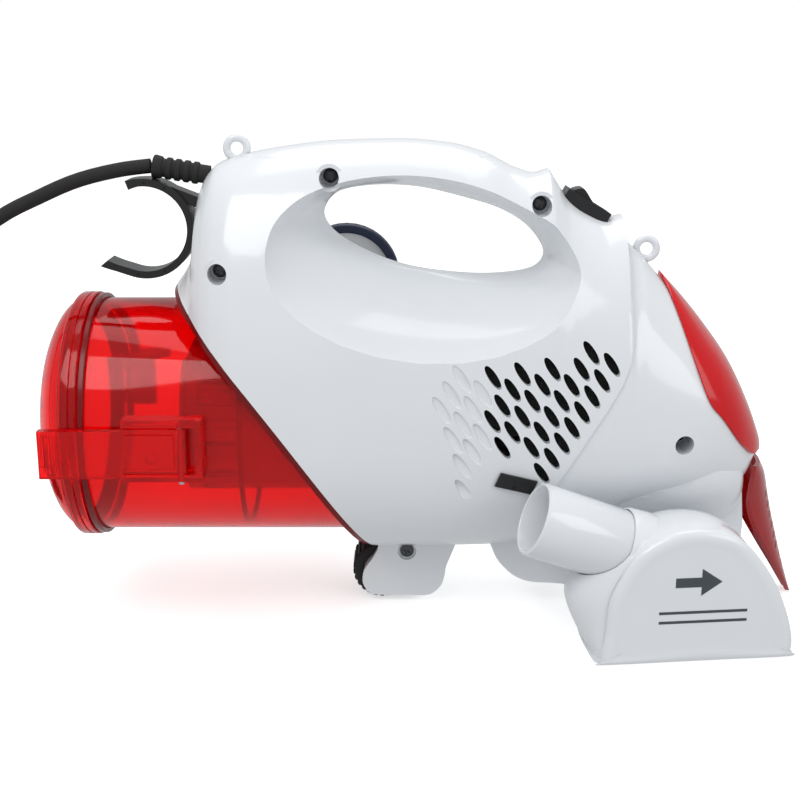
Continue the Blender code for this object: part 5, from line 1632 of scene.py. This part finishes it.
@dataclass
class MainsLead:
    """Strain relief, lead, wound store and moulded plug.

    Attributes:
        diameter: Lead diameter.
        route: Free stretch from the strain relief to the wound store.
        coil: Centre (x, y) of the store.
        radii: Radii of the turns in one layer.
        layers: Heights of the layers.
        plug_at: Plug axis (x, z).
    """

    diameter: float = 7.0
    route: tuple[tuple[float, float, float], ...] = (
        (-130.9, 0.0, 217.1), (-147.0, 0.0, 215.0), (-167.0, 0.0, 210.0), (-186.0, -0.5, 202.0),
        (-205.0, -1.5, 192.4), (-232.0, -5.0, 172.5), (-256.0, -11.5, 148.0), (-276.0, -19.0, 120.0),
        (-293.0, -26.0, 91.5), (-308.0, -32.5, 64.0), (-322.0, -36.0, 39.0), (-336.0, -35.5, 20.5),
        (-350.0, -27.0, 9.8), (-360.8, -11.0, 5.2), (-365.5, 10.0, 3.8), (-365.6, 31.0, 3.8),
        (-365.3, 52.0, 3.8))
    coil: tuple[float, float] = (-306.0, 52.0)

    radii: tuple[float, ...] = (51.9, 44.9, 37.9, 30.9)
    layers: tuple[float, ...] = (3.8, 10.8, 17.8, 24.8)
    plug_at: tuple[float, float] = (-242.0, 11.4)

    def wound(self) -> list[Vector]:
        """Points of the wound store: layers of turns a diameter apart.

        Returns:
            The points, from where the free stretch arrives to where the plug leaves.
        """
        x, y = self.coil
        lanes: list[tuple[float, float]] = []
        for n, high in enumerate(self.layers):
            lanes += [(r, high) for r in (self.radii if n % 2 == 0 else self.radii[::-1])]
        points = []
        steps = 28
        last = len(lanes) - 1
        for n, (r, h) in enumerate(lanes):
            following = lanes[min(n + 1, last)]
            for k in range(steps if n < last else steps * 160 // 360):
                t = k / steps
                blend = max(0.0, (t - 0.5) / 0.5)
                blend = blend * blend * (3 - 2 * blend)
                arrive = 7.4 * (1 - min(1.0, t / 0.4)) ** 2 if n == 0 else 0.0
                radius = r + arrive + (following[0] - r) * blend
                angle = math.pi - 2 * math.pi * (n + t)
                points.append(Vector((x + radius * math.cos(angle), y + radius * math.sin(angle),
                                      h + (following[1] - h) * blend)))
        return points

    def tail(self, start: Vector, heading: Vector) -> list[Vector]:
        """Points from the store's last turn into the plug.

        Args:
            start: Last point of the store.
            heading: Direction of travel there.

        Returns:
            The points after start.
        """
        end = Vector((self.plug_at[0], 14.0, self.plug_at[1]))
        pull = (end - start).length * 1.05
        a, b = heading.normalized() * pull, Vector((0, -pull, 0))
        points = []
        for t in (k / 16 for k in range(1, 17)):
            point = ((2 * t ** 3 - 3 * t ** 2 + 1) * start + (t ** 3 - 2 * t ** 2 + t) * a
                     + (3 * t ** 2 - 2 * t ** 3) * end + (t ** 3 - t ** 2) * b)
            drop = max(0.0, (t - 0.22) / 0.78)
            point.z = start.z + (end.z - start.z) * drop * drop * (3 - 2 * drop)
            points.append(point)
        return points

    def build(self) -> None:
        """Build the lead and place its pieces."""
        path = spline(self.route, 60, closed=False)[:-1] + self.wound()
        path += self.tail(path[-1], path[-1] - path[-2])
        curve = bpy.data.curves.new("mains_lead", "CURVE")
        curve.dimensions = "3D"
        curve.bevel_depth = self.diameter / 2 * MM
        curve.bevel_resolution = 4
        curve.use_fill_caps = True
        line = curve.splines.new("POLY")
        line.points.add(len(path) - 1)
        for slot, point in zip(line.points, path):
            slot.co = (*(point * MM), 1.0)
        lead = bpy.data.objects.new("mains_lead", curve)
        bpy.context.scene.collection.objects.link(lead)
        curve.materials.append(RUBBER.material())
        gland = self.gland()
        plug = self.plug()
        self.tie()
        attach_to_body(lead, "machine")
        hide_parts("cord_tube", "cord_coil")

    def gland(self) -> bpy.types.Object:
        """Tapered ribbed strain relief.

        Returns:
            The piece.
        """
        a, b = Vector((-103.0, 0, 212.8)), Vector((-129.9, 0, 216.9))
        axis = (b - a).normalized()
        long = (b - a).length
        bm = bmesh.new()
        lathe(bm, ((0, 0), (0, 4.4), (long - 5.0, 4.4), (long - 4.0, 5.3), (long - 1.2, 5.7), (long - 0.3, 5.5),
                   (long, 4.9), (long, 0)), a, axis, 48)
        gland = new_piece("strain_relief", bm, RUBBER)
        ribs = REPEAT.run("relief_ribs", lambda bm: lathe(
            bm, ((-0.4, 3.0), (-0.4, 4.9), (0.1, 5.3), (1.9, 5.3), (2.4, 4.9), (2.4, 3.0)), (0, 0, 0), (0, 0, 1), 40),
            RUBBER, 4, (0, 0, 4.3), (0, 0, 0), Matrix.Translation(a + axis * 5.6) @ onto(axis))
        shape(gland, ribs, "UNION")
        shape(gland, lambda bm: loft(bm, [BodyShell().ring(-120.9 + k, 0.1, 90) for k in range(0, 30)]))
        settle(gland, RUBBER, "machine", ("cord_gland",))
        return gland

    def plug(self) -> bpy.types.Object:
        """Moulded plug with a finger waist.

        Returns:
            The piece.
        """
        x, z = self.plug_at
        keys = ((23.5, 0.36), (20.5, 0.41), (16.0, 0.46), (10.4, 0.76), (4.0, 0.98), (-4.0, 0.91), (-12.0, 1.0),
                (-18.4, 0.98), (-19.6, 0.90))
        bm = bmesh.new()
        rings = []
        for p in spline([(y, s, 0) for y, s in keys], 36, closed=False):
            ring = []
            for k in range(48):
                a = 2 * math.pi * k / 48
                c, s = math.cos(a), math.sin(a)
                ring.append((x + 12 * p.y * math.copysign(abs(c) ** 0.6, c), p.x,
                             z + 11 * p.y * math.copysign(abs(s) ** 0.6, s)))
            rings.append(ring)
        loft(bm, rings)
        return new_piece("moulded_plug", bm, RUBBER, "machine", ("plug_body",))

    def tie(self) -> None:
        """Rubber strap that holds the turns of the store together."""
        x, y = self.coil
        loops = []
        for grow in (0.0, 0.9):
            loop = []
            for ry, rz, turn in ((55.55, 28.5, 0), (27.25, 28.5, 90), (27.25, 0.3, 180), (55.55, 0.3, 270)):
                cy = ry + (-3.5 if ry > 40 else 3.5)
                cz = rz + (-3.5 if rz > 10 else 3.5)
                for k in range(7):
                    a = math.radians(turn + 15 * k)
                    loop.append((y - cy - (3.5 + grow) * math.cos(a), max(0.02, cz + (3.5 + grow) * math.sin(a))))
            loops.append(loop)
        inner, outer = loops
        bm = bmesh.new()
        loft(bm, [[(x + side * 6, py, pz) for py, pz in loop] for side, loop in
                  ((-1, outer), (1, outer), (1, inner), (-1, inner))], caps=False, closed=True)
        new_piece("coil_tie", bm, RUBBER, "machine")


# ---- carried-over nodes, studio ------------------------------------------------------


class CarriedNodes:
    """CAD nodes whose shape is right: they only get their finish.

    Attributes:
        finishes: Finish of each node.
    """

    finishes: dict[str, Finish] = {
        "motor": STEEL, "brush_motor": STEEL, "fan": CAST, "circuit_board": BOARD, "drive_belt": RUBBER,
        "tool_belt": RUBBER, "brush_pinion": GREY, "brush_bearing_near": GREY, "brush_bearing_far": GREY,
        "tool_bearing_near": GREY, "tool_bearing_far": GREY, "tool_turbine": GREY, "wheel_axle": STEEL,
        "hinge_pin": STEEL, "latch_pin": STEEL, "plug_blade_left": STEEL, "plug_blade_right": STEEL,
    }

    def build(self) -> None:
        """Dress each node."""
        for name, finish in self.finishes.items():
            node = frame["nodes"][name]
            node.data.materials.clear()
            node.data.materials.append(finish.material())
            LOG.info("%s: carried over as %s", name, finish.name)


@dataclass
class Studio:
    """Floor, lights and camera.

    Attributes:
        target: Point that the camera looks at.
        distance: Camera distance.
        rise: Camera elevation in degrees.
        lens: Focal length for a 36 mm sensor.
    """

    target: tuple[float, float, float] = (-12.0, 0.0, 101.3)
    distance: float = 664.0
    rise: float = 15.0
    lens: float = 59.76

    def camera(self) -> None:
        """Create the camera."""
        data = bpy.data.cameras.new("view_camera")
        data.lens = self.lens
        data.sensor_width = 36.0
        data.clip_start = 0.01
        cam = bpy.data.objects.new("view_camera", data)
        turn = math.radians(self.rise)
        away = Vector((0, -math.cos(turn), math.sin(turn))) * self.distance
        cam.location = (Vector(self.target) + away) * MM
        cam.rotation_euler = (math.radians(90 - self.rise), 0, 0)
        bpy.context.scene.collection.objects.link(cam)
        bpy.context.scene.camera = cam

    def lamp(self, name: str, at: Point, size: float, power: float, aim: Point = (0, 0, 0.1)) -> None:
        """Add a soft box.

        Args:
            name: Lamp name.
            at: Place in metres.
            size: Side in metres.
            power: Power in watts.
            aim: Point it faces.
        """
        data = bpy.data.lights.new(name, "AREA")
        data.size = size
        data.energy = power
        lamp = bpy.data.objects.new(name, data)
        lamp.location = at
        lamp.rotation_euler = (Vector(aim) - Vector(at)).to_track_quat("-Z", "Y").to_euler()
        bpy.context.scene.collection.objects.link(lamp)

    def build(self) -> None:
        """Build floor, world, lamps and camera."""
        self.camera()
        bm = bmesh.new()
        rings = [[(r * math.cos(a), r * math.sin(a), z) for a in (2 * math.pi * k / 64 for k in range(64))]
                 for r, z in ((6000, -1.0), (6000, -0.1))]
        loft(bm, rings)
        floor = new_piece("studio_floor", bm, FLOOR)
        floor.visible_diffuse = False
        floor.visible_glossy = False
        world = bpy.data.worlds.new("studio")
        world.use_nodes = True
        tree = world.node_tree
        soft = tree.nodes["Background"]
        soft.inputs["Color"].default_value = (0.97, 0.985, 1.0, 1.0)
        soft.inputs["Strength"].default_value = 0.6
        plain = tree.nodes.new("ShaderNodeBackground")
        plain.inputs["Color"].default_value = (1.0, 1.0, 1.0, 1.0)
        path = tree.nodes.new("ShaderNodeLightPath")
        pick = tree.nodes.new("ShaderNodeMixShader")
        tree.links.new(path.outputs["Is Camera Ray"], pick.inputs[0])
        tree.links.new(soft.outputs[0], pick.inputs[1])
        tree.links.new(plain.outputs[0], pick.inputs[2])
        tree.links.new(pick.outputs[0], tree.nodes["World Output"].inputs["Surface"])
        bpy.context.scene.view_settings.view_transform = "Standard"
        bpy.context.scene.world = world
        self.lamp("key_box", (-0.6, -0.8, 1.3), 0.8, 8.0)
        self.lamp("fill_box", (1.1, -0.9, 0.7), 0.7, 3.5)
        self.lamp("top_box", (0.1, 0.5, 1.5), 1.2, 8.0)


def main() -> None:
    """Build every sub-assembly in order."""
    logging.basicConfig(level=logging.INFO, format="%(message)s")
    Studio().build()
    MainsLead().build()
    shell = BodyShell()
    shell.build()
    Nose(shell).build()
    Fittings(shell).build()
    RearWheel(shell).build()
    DustCup(shell).build()
    TurboTool().build()
    CarriedNodes().build()


if __name__ == "__main__":
    main()
